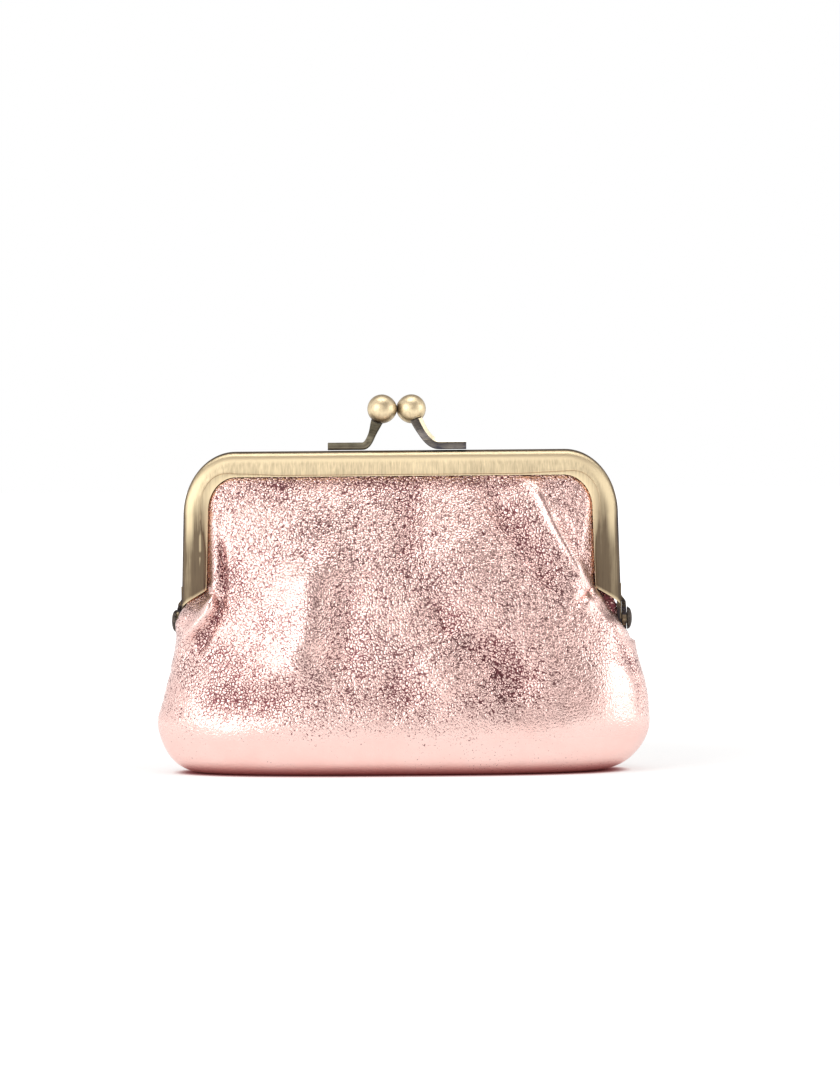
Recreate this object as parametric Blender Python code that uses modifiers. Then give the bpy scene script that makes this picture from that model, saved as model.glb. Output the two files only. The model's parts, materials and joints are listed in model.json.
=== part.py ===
"""Kiss lock purse: a leather pouch with a lining, held in a two-part hinged metal frame.

Units are metres, +Z is up, the front of the purse faces -Y. The origin lies on the floor,
under the middle of the pouch. Both frame halves turn about one axis along X, through the
two hinge rivets. The leather and the lining are split at the hinge line: what is glued
into a frame half turns with it, and the lower pouch stays standing on its base.
"""

import math

import bmesh
import bpy
from mathutils import Matrix, Vector

# Clearances
FIT_GAP = 0.0003            # between pieces that lie against each other
SOLDER_GAP = 0.00015        # between soldered faces of the clasp
HINGE_PLAY = 0.0002         # along the rivet, and round its shank
OVERRUN = 0.004             # how far every cutter passes the wall that it cuts

# Frame halves, pressed from sheet
FRAME_WIDTH = 0.1050
FRAME_RISE = 0.0405         # hinge axis to the top of the frame
FRAME_CORNER_WIDTH = 0.0126
FRAME_CORNER_HEIGHT = 0.0155
LEG_FLARE = 0.0006          # how far each leg leans out between its corner and the hinge axis
SHEET = 0.0007
BEND_RADIUS = 0.0024        # outside radius between the face and the edge
BACK_BEND_RADIUS = 0.0010   # outside radius between the edge and the hidden flange
FACE_WIDTH = 0.0061         # what shows of the flat face, outer edge to leather
HIDDEN_FLANGE_WIDTH = 0.0048
WINDOW_CORNER_WIDTH = 0.0068
WINDOW_CORNER_HEIGHT = 0.0080
LIP_WIDTH = 0.0004          # strip round the window that is pressed back from the face
LIP_DEPTH = 0.0002
LIP_CORNER_WIDTH = 0.0036   # squarer than the window's, so the lip is widest in the corners
LIP_CORNER_HEIGHT = 0.0044
TRIM_ALLOWANCE = 0.0010     # extra width of the swept flanges, which the windows trim off
LEG_END = 0.0015            # lower end of the legs, above the hinge axis
SCALLOP_RISE = 0.0066       # height of the curved cut at the foot of each leg
SCALLOP_POWER = 1.4         # how slowly that cut falls away from the leather
CORNER_STEPS = 9

# Hinge ears and rivets
EAR_SHEET = 0.0010
EAR_RADIUS = 0.0034
EAR_OVERLAP = 0.0050        # how far the ear is lapped up the leg
RIVET_RADIUS = 0.0013
RIVET_HEAD_RADIUS = 0.0027
RIVET_HEAD_HEIGHT = 0.0012
RIVET_TAIL_RADIUS = 0.0021
RIVET_TAIL_HEIGHT = 0.0006

# Leather, lining and the paper cord that wedges them in the channel
LEATHER = 0.0011
LINING = 0.0004
CORD_DIAMETER = 0.0009
EDGE_ROOM = 0.0012          # from the leather's edge to the wall of the channel

# Pouch
HINGE_HEIGHT = 0.0363
BAG_WIDTH = 0.1168
BAG_DEPTH = 0.0410
BELLY_HEIGHT = 0.0130
BASE_WIDTH = 0.0900
BASE_DEPTH = 0.0240
SEAM_TOP_WIDTH = 0.0988     # across the pouch where the side seams end, inside the ears
SEAM_GAP = 0.0004           # from the seam plane to each panel's outer edge
PLAN_POWER = 3.0            # fullness of the pouch seen from above
SEAM_FULLNESS = 0.55        # roundness towards the side seams
FRAME_FULLNESS = 0.95       # roundness towards the legs of the frame
FRONT_POWER = 1.7           # fullness of the pouch seen from the side
SEAM_DROP_POWER = 1.3       # how the sides narrow towards the hinge
NECK_DEPTH = 0.0026         # half depth of the panels' free edges at the hinge

# Clasp
CLASP_OFFSET = -0.0010      # where the balls meet, from the middle of the frame
BALL_DIAMETER = 0.0068
BALL_CLEARANCE = 0.0002     # between the balls as they pass
BALL_HEIGHT = 0.0099        # ball centre above the top of the frame
BALL_PASS = 0.0009          # how far each ball lies past the parting plane
FOOT_START = 0.0090         # where the foot ends and the stem begins to rise
FOOT_LENGTH = 0.0076
ARM_WIDTH = 0.0032
ARM_THICKNESS = 0.0018
ARM_TIP_THICKNESS = 0.0023  # thickness of the arm where it meets its ball
STEM_LEAN_SHARE = 0.35      # where the stem aims, as a share of the foot's distance

# Worked out from the sizes above
CHANNEL_ROOM = LEATHER + LINING + CORD_DIAMETER + 4 * FIT_GAP
CHANNEL_DEPTH = CHANNEL_ROOM + 2 * SHEET
HALF_WIDTH = FRAME_WIDTH / 2
PARTING = FIT_GAP / 2
FACE_Y = PARTING + CHANNEL_DEPTH
LEATHER_Y = FACE_Y - SHEET - FIT_GAP
LINING_Y = LEATHER_Y - LEATHER - FIT_GAP
CORD_Y = LINING_Y - LINING - FIT_GAP - CORD_DIAMETER / 2
FRAME_TOP = HINGE_HEIGHT + FRAME_RISE
WINDOW_TOP = FRAME_TOP - FACE_WIDTH
LEG_FOOT = LEG_END + SCALLOP_RISE

BRASS = (0.46, 0.38, 0.24)
LEATHER_PINK = (0.86, 0.55, 0.50)
LINING_CREAM = (0.74, 0.66, 0.58)
PAPER = (0.72, 0.62, 0.46)


def clear_scene():
    for obj in list(bpy.data.objects):
        bpy.data.objects.remove(obj)


def new_collection(name, hidden=False):
    group = bpy.data.collections.new(name)
    group.hide_render = hidden
    bpy.context.scene.collection.children.link(group)
    return group


def make_material(name, colour, roughness, metallic):
    material = bpy.data.materials.new(name)
    material.use_nodes = True
    shader = material.node_tree.nodes["Principled BSDF"]
    shader.inputs["Base Color"].default_value = (*colour, 1.0)
    shader.inputs["Roughness"].default_value = roughness
    shader.inputs["Metallic"].default_value = metallic
    return material


def link_mesh(name, bm, group, material=None):
    mesh = bpy.data.meshes.new(name)
    bm.to_mesh(mesh)
    bm.free()
    obj = bpy.data.objects.new(name, mesh)
    group.objects.link(obj)
    if material:
        mesh.materials.append(material)
    return obj


def evaluated_mesh(obj):
    graph = bpy.context.evaluated_depsgraph_get()
    return bpy.data.meshes.new_from_object(obj.evaluated_get(graph), depsgraph=graph)


def curve_to_mesh(curve_obj, name, group, material=None):
    """The curve's swept form as a welded mesh object, in world space."""
    bpy.context.view_layer.update()
    mesh = evaluated_mesh(curve_obj)
    bm = bmesh.new()
    bm.from_mesh(mesh)
    bmesh.ops.remove_doubles(bm, verts=bm.verts, dist=SHEET / 100)
    bmesh.ops.recalc_face_normals(bm, faces=bm.faces)
    bm.transform(curve_obj.matrix_world)
    bpy.data.objects.remove(curve_obj)
    bpy.data.meshes.remove(mesh)
    return link_mesh(name, bm, group, material)


def apply_boolean(obj, cutter, operation):
    """Cuts or joins obj with cutter, and keeps the result as obj's own mesh."""
    modifier = obj.modifiers.new(operation.title(), "BOOLEAN")
    modifier.operation = operation
    modifier.solver = "EXACT"
    modifier.object = cutter
    bpy.context.view_layer.update()
    old = obj.data
    obj.data = evaluated_mesh(obj)
    obj.modifiers.clear()
    bpy.data.meshes.remove(old)
    cutter.hide_render = True
    cutter.display_type = "WIRE"


def shade(obj, angle=math.radians(35)):
    obj.data.shade_smooth()
    obj.data.set_sharp_from_angle(angle=angle)


def poly_spline(curve, points, cyclic):
    spline = curve.splines.new("POLY")
    spline.points.add(len(points) - 1)
    for point, place in zip(spline.points, points):
        point.co = Vector(place).to_4d()
    spline.use_cyclic_u = cyclic
    return spline


def flat_plate(name, outline, thickness, matrix, group):
    """A flat outline in the local XY plane, extruded both ways to the thickness."""
    curve = bpy.data.curves.new(name, "CURVE")
    curve.dimensions = "2D"
    curve.fill_mode = "BOTH"
    curve.extrude = thickness / 2
    poly_spline(curve, [(x, y, 0.0) for x, y in outline], cyclic=True)
    obj = bpy.data.objects.new(name, curve)
    group.objects.link(obj)
    obj.matrix_world = matrix
    return curve_to_mesh(obj, name, group)


def upright(y):
    """Local X to world X, local Y to world Z, at this distance along world Y."""
    return Matrix.Translation((0.0, y, 0.0)) @ Matrix.Rotation(math.pi / 2, 4, "X")


def sideways(x):
    """Local X to world Y, local Y to world Z, at this distance along world X."""
    turn = Matrix(((0, 0, 1), (1, 0, 0), (0, 1, 0))).to_4x4()
    return Matrix.Translation((x, 0.0, 0.0)) @ turn


class Arch:
    """Half of an outline above the hinge axis: leaning legs, elliptical corners and a level top."""

    def __init__(self, half_width, rise, corner_width, corner_height):
        self.half_width = half_width
        self.rise = rise
        self.corner_width = corner_width
        self.corner_height = corner_height

    def inset(self, distance):
        return Arch(
            self.half_width - distance,
            self.rise - distance,
            self.corner_width - distance,
            self.corner_height - distance,
        )

    def half_at(self, height):
        """Half width at this height above the hinge axis."""
        corner_foot = self.rise - self.corner_height
        if height <= corner_foot:
            return self.half_width - LEG_FLARE * height / corner_foot
        share = min(1.0, (height - corner_foot) / self.corner_height)
        return self.half_width - LEG_FLARE - self.corner_width * (1 - math.sqrt(1 - share**2))

    def points(self, low):
        """The outline from the right foot, over the top, to the left foot, both at the height low."""
        centre = self.half_width - LEG_FLARE - self.corner_width
        right = [(self.half_at(low), low)]
        for step in range(CORNER_STEPS + 1):
            angle = math.pi / 2 * step / CORNER_STEPS
            across = centre + self.corner_width * math.cos(angle)
            right.append((across, self.rise - self.corner_height * (1 - math.sin(angle))))
        return right + [(-x, z) for x, z in reversed(right)]


FRAME_ARCH = Arch(HALF_WIDTH, FRAME_RISE, FRAME_CORNER_WIDTH, FRAME_CORNER_HEIGHT)
WINDOW_ARCH = Arch(
    HALF_WIDTH - FACE_WIDTH, FRAME_RISE - FACE_WIDTH, WINDOW_CORNER_WIDTH, WINDOW_CORNER_HEIGHT
)
LIP_ARCH = Arch(
    HALF_WIDTH - FACE_WIDTH + LIP_WIDTH,
    FRAME_RISE - FACE_WIDTH + LIP_WIDTH,
    LIP_CORNER_WIDTH,
    LIP_CORNER_HEIGHT,
)
EAR_INNER = FRAME_ARCH.half_at(EAR_RADIUS + EAR_OVERLAP / 2) - (SHEET + EAR_SHEET) / 2


def arc(centre, radius, start, end, steps):
    angles = [start + (end - start) * i / steps for i in range(steps + 1)]
    return [(centre[0] + radius * math.cos(a), centre[1] + radius * math.sin(a)) for a in angles]


def channel_profile():
    """Section of the channel, as inward distance from the outline and distance from the parting."""
    depth, width = CHANNEL_DEPTH, FACE_WIDTH + TRIM_ALLOWANCE
    bend, back = BEND_RADIUS, BACK_BEND_RADIUS
    half_turn, right, down = math.pi, math.pi / 2, 1.5 * math.pi
    outer = [(width, depth)]
    outer += arc((bend, depth - bend), bend, right, half_turn, 5)
    outer += arc((back, back), back, half_turn, down, 3)
    outer += [(width, 0.0)]
    inner = [(width, SHEET)]
    inner += arc((back, back), back - SHEET, down, half_turn, 2)
    inner += arc((bend, depth - bend), bend - SHEET, half_turn, right, 4)
    inner += [(width, depth - SHEET)]
    return outer + inner


def sweep_channel(name, group):
    """The plain channel of one frame half, swept along the frame's outline, facing -Y."""
    section = bpy.data.curves.new(name + "_section", "CURVE")
    section.dimensions = "2D"
    points = [(-inward, PARTING + away, 0.0) for inward, away in channel_profile()]
    poly_spline(section, points, cyclic=True)
    section_obj = bpy.data.objects.new(name + "_section", section)
    group.objects.link(section_obj)
    path = bpy.data.curves.new(name, "CURVE")
    path.dimensions = "2D"
    poly_spline(path, [(x, z, 0.0) for x, z in FRAME_ARCH.points(LEG_END)], cyclic=False)
    path.bevel_mode = "OBJECT"
    path.bevel_object = section_obj
    path.use_fill_caps = True
    obj = bpy.data.objects.new(name, path)
    group.objects.link(obj)
    obj.matrix_world = Matrix.Translation((0.0, 0.0, HINGE_HEIGHT)) @ upright(0.0)
    swept = curve_to_mesh(obj, name, group)
    bpy.data.objects.remove(section_obj)
    return swept


def foot_outline():
    """What is cut away below the legs: the foot of each leg ends in a double curve."""
    inner = WINDOW_ARCH.half_at(LEG_FOOT) - FIT_GAP
    outer = HALF_WIDTH + SHEET
    steps = 12
    right = [(HALF_WIDTH + OVERRUN, -EAR_RADIUS - OVERRUN), (HALF_WIDTH + OVERRUN, LEG_END)]
    for step in range(steps + 1):
        share = step / steps
        rise = (math.acos(2 * share - 1) / math.pi) ** SCALLOP_POWER
        right.append((outer + (inner - outer) * share, LEG_FOOT - SCALLOP_RISE * rise))
    return right + [(-x, z) for x, z in reversed(right)]


def cylinder_along_x(name, radius, low, high, group, segments=40):
    bm = bmesh.new()
    bmesh.ops.create_cone(
        bm, cap_ends=True, segments=segments, radius1=radius, radius2=radius, depth=high - low
    )
    bmesh.ops.rotate(bm, verts=bm.verts, matrix=Matrix.Rotation(math.pi / 2, 3, "Y"))
    bmesh.ops.translate(bm, verts=bm.verts, vec=((low + high) / 2, 0.0, HINGE_HEIGHT))
    return link_mesh(name, bm, group)


def ear_tab_outline():
    """The ear seen from the side: a disc round the rivet and a strip up the leg, in Y and height."""
    outer_y = -FACE_Y + BEND_RADIUS * 3 / 4
    inner_y = -PARTING - FIT_GAP
    shoulder = EAR_RADIUS + FIT_GAP
    top = EAR_RADIUS + EAR_OVERLAP
    notch = math.acos(inner_y / EAR_RADIUS)
    reach = math.hypot(outer_y, shoulder)
    tangent = math.atan2(shoulder, outer_y) + math.acos(EAR_RADIUS / reach)
    disc = arc((0.0, 0.0), EAR_RADIUS, notch, tangent - 2 * math.pi, 26)
    return disc + [(outer_y, shoulder), (outer_y, top), (inner_y, top)]


def ear_bend_outline(offset):
    """The ear seen from the front: flat, or set out past the other half's ear, in X and height."""
    low, high = -EAR_RADIUS - OVERRUN, EAR_RADIUS + EAR_OVERLAP + OVERRUN
    bend_low = EAR_RADIUS + FIT_GAP
    bend_high = bend_low + EAR_SHEET + offset
    inner, outer = EAR_INNER, EAR_INNER + EAR_SHEET
    if not offset:
        return [(inner, low), (outer, low), (outer, high), (inner, high)]
    return [
        (inner + offset, low),
        (outer + offset, low),
        (outer + offset, bend_low),
        (outer, bend_high),
        (outer, high),
        (inner, high),
        (inner, bend_high),
        (inner + offset, bend_low),
    ]


def build_ear(name, offset, group):
    """The right-hand ear of a half that faces -Y."""
    above_axis = Matrix.Translation((0.0, 0.0, HINGE_HEIGHT))
    tab_width = 2 * (HALF_WIDTH + OVERRUN)
    tab = flat_plate(name, ear_tab_outline(), tab_width, above_axis @ sideways(HALF_WIDTH), group)
    bend_width = 2 * (FACE_Y + OVERRUN)
    bend = flat_plate(
        name + "_bend", ear_bend_outline(offset), bend_width, above_axis @ upright(0.0), group
    )
    apply_boolean(tab, bend, "INTERSECT")
    bpy.data.objects.remove(bend)
    hole = cylinder_along_x(
        name + "_hole", RIVET_RADIUS + HINGE_PLAY, 0.0, HALF_WIDTH + OVERRUN, group, segments=24
    )
    apply_boolean(tab, hole, "DIFFERENCE")
    bpy.data.objects.remove(hole)
    return tab


def mirrored_x(obj, name, group):
    """A mirror image of obj across the middle of the purse."""
    bm = bmesh.new()
    bm.from_mesh(obj.data)
    bm.transform(Matrix.Scale(-1, 4, Vector((1, 0, 0))))
    bmesh.ops.reverse_faces(bm, faces=bm.faces)
    return link_mesh(name, bm, group)


def turn_to_back(obj):
    """Turns a front piece half round, which makes it the back one."""
    obj.data.transform(Matrix.Rotation(math.pi, 4, "Z"))


def build_frame(name, ear_offset, group, guides, material):
    """One frame half that faces -Y: swept channel, windows, feet, ears and the lip."""
    frame = sweep_channel(name, group)
    clearance = EAR_RADIUS + 2 * FIT_GAP
    reach = HALF_WIDTH + OVERRUN
    around_ears = cylinder_along_x(name + "_ear_room", clearance, -reach, reach, guides)
    apply_boolean(frame, around_ears, "DIFFERENCE")
    middle = PARTING + CHANNEL_DEPTH / 2
    hidden_arch = WINDOW_ARCH.inset(HIDDEN_FLANGE_WIDTH - FACE_WIDTH)
    foot = -EAR_RADIUS - OVERRUN

    def cut(label, outline, low, high):
        matrix = Matrix.Translation((0.0, 0.0, HINGE_HEIGHT)) @ upright(-(low + high) / 2)
        cutter = flat_plate(name + "_" + label, outline, high - low, matrix, guides)
        apply_boolean(frame, cutter, "DIFFERENCE")

    cut("face_window", WINDOW_ARCH.points(foot), middle, FACE_Y + OVERRUN)
    cut("hidden_window", hidden_arch.points(foot), PARTING - OVERRUN, middle)
    cut("feet", foot_outline(), PARTING - OVERRUN, FACE_Y + OVERRUN)
    ear = build_ear(name + "_right_ear", ear_offset, guides)
    other = mirrored_x(ear, name + "_left_ear", guides)
    apply_boolean(frame, ear, "UNION")
    apply_boolean(frame, other, "UNION")
    cut("lip", LIP_ARCH.points(foot), FACE_Y - LIP_DEPTH, FACE_Y + OVERRUN)
    frame.data.materials.clear()
    frame.data.materials.append(material)
    return frame


def turned_piece(name, profile, matrix, group, material, steps=28):
    """A profile of (radius, height) points, top to bottom, turned about its axis with a Screw modifier."""
    bm = bmesh.new()
    verts = [bm.verts.new((radius, 0.0, height)) for radius, height in profile]
    for first, second in zip(verts, verts[1:]):
        bm.edges.new((first, second))
    obj = link_mesh(name, bm, group, material)
    screw = obj.modifiers.new("Turn", "SCREW")
    screw.steps = steps
    screw.render_steps = steps
    screw.use_merge_vertices = True
    screw.merge_threshold = 0.00001
    obj.matrix_world = matrix
    bpy.context.view_layer.update()
    return obj


def build_rivet(name, side, group, material):
    """A rivet along X: domed head outside, shank through both ears, upset tail inside."""
    head = EAR_INNER + 2 * (EAR_SHEET + HINGE_PLAY)
    tail = EAR_INNER - HINGE_PLAY
    steps = 6
    rim = RIVET_HEAD_HEIGHT / 3
    dome = [
        (
            RIVET_HEAD_RADIUS * math.sin(math.pi / 2 * i / steps),
            head + rim + (RIVET_HEAD_HEIGHT - rim) * math.cos(math.pi / 2 * i / steps),
        )
        for i in range(steps + 1)
    ]
    profile = dome + [
        (RIVET_HEAD_RADIUS, head),
        (RIVET_RADIUS, head),
        (RIVET_RADIUS, tail),
        (RIVET_TAIL_RADIUS, tail),
        (RIVET_TAIL_RADIUS, tail - RIVET_TAIL_HEIGHT / 2),
        (RIVET_RADIUS, tail - RIVET_TAIL_HEIGHT),
        (0.0, tail - RIVET_TAIL_HEIGHT),
    ]
    to_x = Matrix.Rotation(side * math.pi / 2, 4, "Y")
    matrix = Matrix.Translation((0.0, 0.0, HINGE_HEIGHT)) @ to_x
    return turned_piece(name, profile, matrix, group, material)


def side_depth(height):
    """Half depth of the pouch's middle at this height, from the belly to the frame."""
    share = (height - BELLY_HEIGHT) / (WINDOW_TOP - BELLY_HEIGHT)
    share = min(1.0, max(0.0, share))
    return LEATHER_Y + (BAG_DEPTH / 2 - LEATHER_Y) * (1 - share**FRONT_POWER)


def seam_half_width(height):
    """Half width of the pouch between its side seams, from the belly to the hinge."""
    share = (height - BELLY_HEIGHT) / (HINGE_HEIGHT - BELLY_HEIGHT)
    share = min(1.0, max(0.0, share))
    spread = (BAG_WIDTH - SEAM_TOP_WIDTH) / 2
    return SEAM_TOP_WIDTH / 2 + spread * (1 - share**2) ** SEAM_DROP_POWER


def fullness(height):
    """How round the pouch is towards its sides: rounder at the seams than at the frame."""
    share = (height - HINGE_HEIGHT) / (WINDOW_TOP - HINGE_HEIGHT)
    share = min(1.0, max(0.0, share))
    return SEAM_FULLNESS + (FRAME_FULLNESS - SEAM_FULLNESS) * share


def column_shares(count):
    """Places across the pouch, -1 to 1, closer together towards the sides."""
    return [math.sin(math.pi / 2 * i / count) for i in range(-count, count + 1)]


def plan_row(half_width, depth, edge_depth, roundness, height, shares):
    """One row of the pouch's surface at this height, seam to seam."""
    row = []
    for share in shares:
        swell = max(0.0, 1 - abs(share) ** PLAN_POWER) ** roundness
        row.append((half_width * share, -(edge_depth + (depth - edge_depth) * swell), height))
    return row


def lower_rows(inset, columns, steps):
    """Rows of the lower pouch, from the hinge line down and under to the middle of the base."""
    shares = column_shares(columns)
    seam = SEAM_GAP
    rows = []
    top = HINGE_HEIGHT - FIT_GAP / 2
    for step in range(steps):
        height = top + (BELLY_HEIGHT - top) * step / steps
        half = seam_half_width(height) - inset
        depth = side_depth(height) - inset
        rows.append(plan_row(half, depth, seam, SEAM_FULLNESS, height, shares))
    round_steps = max(3, steps - 1)
    for step in range(round_steps + 1):
        angle = math.pi / 2 * step / round_steps
        half = (BASE_WIDTH + (BAG_WIDTH - BASE_WIDTH) * math.cos(angle)) / 2 - inset
        depth = (BASE_DEPTH + (BAG_DEPTH - BASE_DEPTH) * math.cos(angle)) / 2 - inset
        height = inset + (BELLY_HEIGHT - inset) * (1 - math.sin(angle))
        rows.append(plan_row(half, depth, seam, SEAM_FULLNESS, height, shares))
    for share in (0.6, 0.25):
        half = (BASE_WIDTH / 2 - inset) * share
        depth = seam + (BASE_DEPTH / 2 - inset - seam) * share
        rows.append(plan_row(half, depth, seam, SEAM_FULLNESS, inset, shares))
    return rows


def upper_rows(inset, edge_y, columns, steps):
    """Rows of a panel above the hinge line, up into the channel, with margins in the legs."""
    shares = column_shares(columns)
    margin = FRAME_ARCH.inset(SHEET + EDGE_ROOM)
    window = WINDOW_ARCH.inset(FIT_GAP)
    tuck_top = HINGE_HEIGHT + margin.rise
    bottom = HINGE_HEIGHT + FIT_GAP / 2
    opening = WINDOW_TOP - bottom
    heights = [bottom + opening * math.sin(math.pi / 2 * i / steps) for i in range(steps + 1)]
    heights += [(WINDOW_TOP + tuck_top) / 2, tuck_top]
    rows = []
    for height in heights:
        above = height - HINGE_HEIGHT
        low_share = min(1.0, max(0.0, (height - bottom) / LEG_FOOT))
        neck_half = SEAM_TOP_WIDTH / 2 - inset
        edge_half = neck_half + (margin.half_at(above) - neck_half) * low_share
        neck_depth = NECK_DEPTH - inset
        edge_depth = neck_depth + (edge_y - neck_depth) * low_share
        half = min(window.half_at(above), edge_half - FACE_WIDTH / 3) - inset
        depth = edge_depth
        if height < WINDOW_TOP:
            depth = max(edge_depth, side_depth(height) - inset)
        row = plan_row(half, depth, edge_depth, fullness(height), height, shares)
        row.insert(0, (-edge_half, -edge_depth, height))
        row.append((edge_half, -edge_depth, height))
        rows.append(row)
    return rows


def panel(name, rows, thickness, group, material, close_last):
    """A sheet lofted through rows of points, with its thickness inwards."""
    bm = bmesh.new()
    grid = [[bm.verts.new(point) for point in row] for row in rows]
    for upper, lower in zip(grid, grid[1:]):
        for i in range(len(upper) - 1):
            bm.faces.new((upper[i], lower[i], lower[i + 1], upper[i + 1]))
    if close_last:
        bm.faces.new(grid[-1][::-1])
    obj = link_mesh(name, bm, group, material)
    solid = obj.modifiers.new("Thickness", "SOLIDIFY")
    solid.thickness = thickness
    solid.offset = -1
    solid.use_even_offset = True
    return obj


def build_panels(group, leather, lining):
    """Leather and lining, front and back, above and below the hinge line."""
    lining_inset = LEATHER + 2 * FIT_GAP
    layers = (
        ("panel", 0.0, LEATHER_Y, LEATHER, 12, leather),
        ("lining", lining_inset, LINING_Y, LINING, 9, lining),
    )
    for label, inset, edge_y, thickness, columns, material in layers:
        for half in ("front", "back"):
            steps = columns // 2
            lower = lower_rows(inset, columns, steps)
            upper = upper_rows(inset, edge_y, columns, steps + 1)[::-1]
            for part, rows, close in (("lower", lower, True), ("upper", upper, False)):
                obj = panel(f"{half}_{label}_{part}", rows, thickness, group, material, close)
                if half == "back":
                    turn_to_back(obj)
                shade(obj, math.radians(60))


def build_packing_cord(name, group, material):
    """The paper cord that wedges the leather and the lining in a frame half's channel."""
    middle = SHEET + EDGE_ROOM + CORD_DIAMETER
    curve = bpy.data.curves.new(name, "CURVE")
    curve.dimensions = "3D"
    curve.bevel_depth = CORD_DIAMETER / 2
    curve.bevel_resolution = 1
    curve.use_fill_caps = True
    outline = FRAME_ARCH.inset(middle).points(LEG_FOOT + 2 * CORD_DIAMETER)
    poly_spline(curve, [(x, -CORD_Y, HINGE_HEIGHT + z) for x, z in outline], cyclic=False)
    obj = bpy.data.objects.new(name, curve)
    group.objects.link(obj)
    return curve_to_mesh(obj, name, group, material)


def build_clasp(half, side, group, guides, material):
    """The bent arm and the ball of one half, for a half that faces -Y."""
    ball_radius = BALL_DIAMETER / 2
    ball_away = ball_radius + BALL_CLEARANCE / 2
    ball_height = FRAME_TOP + BALL_HEIGHT
    foot_y = -(PARTING + CHANNEL_DEPTH / 2 - BEND_RADIUS / 4)
    foot_height = FRAME_TOP + SOLDER_GAP + ARM_THICKNESS / 2
    ball_centre = Vector((CLASP_OFFSET + side * ball_away, BALL_PASS, ball_height))

    section = bpy.data.curves.new(half + "_arm_section", "CURVE")
    section.dimensions = "2D"
    corner = ARM_THICKNESS / 4
    corners = ((1, 1, 0.0), (-1, 1, math.pi / 2), (-1, -1, math.pi), (1, -1, 1.5 * math.pi))
    points = []
    for across, up, start in corners:
        centre = (
            across * (ARM_THICKNESS / 2 - corner),
            up * (ARM_WIDTH / 2 - corner),
        )
        points += arc(centre, corner, start, start + math.pi / 2, 2)
    poly_spline(section, [(x, y, 0.0) for x, y in points], cyclic=True)
    section_obj = bpy.data.objects.new(half + "_arm_section", section)
    guides.objects.link(section_obj)

    name = half + "_clasp_arm"
    path = bpy.data.curves.new(name, "CURVE")
    path.dimensions = "2D"
    path.resolution_u = 8
    path.bevel_mode = "OBJECT"
    path.bevel_object = section_obj
    path.use_fill_caps = True
    spline = path.splines.new("BEZIER")
    spline.bezier_points.add(2)
    foot_end = FOOT_START + FOOT_LENGTH
    stem_rise = ball_height - foot_height
    knots = (
        ((foot_end, foot_height), (FOOT_START, foot_height), 1.0),
        ((FOOT_START, foot_height), (FOOT_START * (1 - STEM_LEAN_SHARE), foot_height), 1.0),
        ((ball_away, ball_height), (ball_away, ball_height + stem_rise), ARM_TIP_THICKNESS / ARM_THICKNESS),
    )
    before = (
        (foot_end + FOOT_LENGTH, foot_height),
        (FOOT_START + FOOT_LENGTH / 3, foot_height),
        (ball_away + (FOOT_START - ball_away) * STEM_LEAN_SHARE, foot_height + stem_rise / 2),
    )
    for point, (place, ahead, widening), behind in zip(spline.bezier_points, knots, before):
        for attribute, (away, height) in (("co", place), ("handle_left", behind), ("handle_right", ahead)):
            setattr(point, attribute, (side * away, height, 0.0))
        point.radius = widening
    obj = bpy.data.objects.new(name, path)
    guides.objects.link(obj)
    obj.matrix_world = Matrix.Translation((CLASP_OFFSET, foot_y, 0.0)) @ upright(0.0)
    arm = curve_to_mesh(obj, name, group, material)
    bpy.data.objects.remove(section_obj)
    for vertex in arm.data.vertices:
        share = (vertex.co.z - FRAME_TOP - ARM_THICKNESS) / (stem_rise - ARM_THICKNESS)
        share = min(1.0, max(0.0, share))
        vertex.co.y += (ball_centre.y - foot_y) * share * share * (3 - 2 * share)

    seat = bmesh.new()
    bmesh.ops.create_uvsphere(seat, u_segments=24, v_segments=14, radius=ball_radius + SOLDER_GAP)
    bmesh.ops.translate(seat, verts=seat.verts, vec=ball_centre)
    seat_obj = link_mesh(name + "_seat", seat, guides)
    apply_boolean(arm, seat_obj, "DIFFERENCE")

    ball = bmesh.new()
    bmesh.ops.create_uvsphere(ball, u_segments=24, v_segments=14, radius=ball_radius)
    bmesh.ops.translate(ball, verts=ball.verts, vec=ball_centre)
    ball_obj = link_mesh(half + "_clasp_ball", ball, group, material)
    return arm, ball_obj


def main():
    clear_scene()
    purse = new_collection("kiss_lock_purse")
    guides = new_collection("cutters", hidden=True)
    brass = make_material("antique_brass", BRASS, 0.32, 1.0)
    leather = make_material("metallic_leather", LEATHER_PINK, 0.28, 0.8)
    lining = make_material("lining_cloth", LINING_CREAM, 0.9, 0.0)
    paper = make_material("paper_cord", PAPER, 0.9, 0.0)

    ear_set_out = EAR_SHEET + HINGE_PLAY
    front_frame = build_frame("front_frame", 0.0, purse, guides, brass)
    back_frame = build_frame("back_frame", ear_set_out, purse, guides, brass)
    turn_to_back(back_frame)
    shade(front_frame)
    shade(back_frame)

    for name, side in (("right_hinge_rivet", 1), ("left_hinge_rivet", -1)):
        shade(build_rivet(name, side, purse, brass))

    build_panels(purse, leather, lining)

    build_packing_cord("front_packing_cord", purse, paper)
    turn_to_back(build_packing_cord("back_packing_cord", purse, paper))

    for piece in build_clasp("front", 1, purse, guides, brass):
        shade(piece)
    for piece in build_clasp("back", 1, purse, guides, brass):
        turn_to_back(piece)
        piece.data.transform(Matrix.Translation((2 * CLASP_OFFSET, 0.0, 0.0)))
        shade(piece)


main()
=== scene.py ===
"""The finished look of the kiss lock purse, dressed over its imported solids.

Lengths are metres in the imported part's own frame: +X right along the hinge axis, +Y to the back,
+Z up from the surface that the purse stands on. Front pieces face -Y. A back piece is made like a
front one and turned half round.
"""

import json
import logging
import math
from collections.abc import Iterator, Sequence
from contextlib import contextmanager
from dataclasses import dataclass, replace
from enum import Enum
from functools import cache, reduce
from typing import Any

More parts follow.
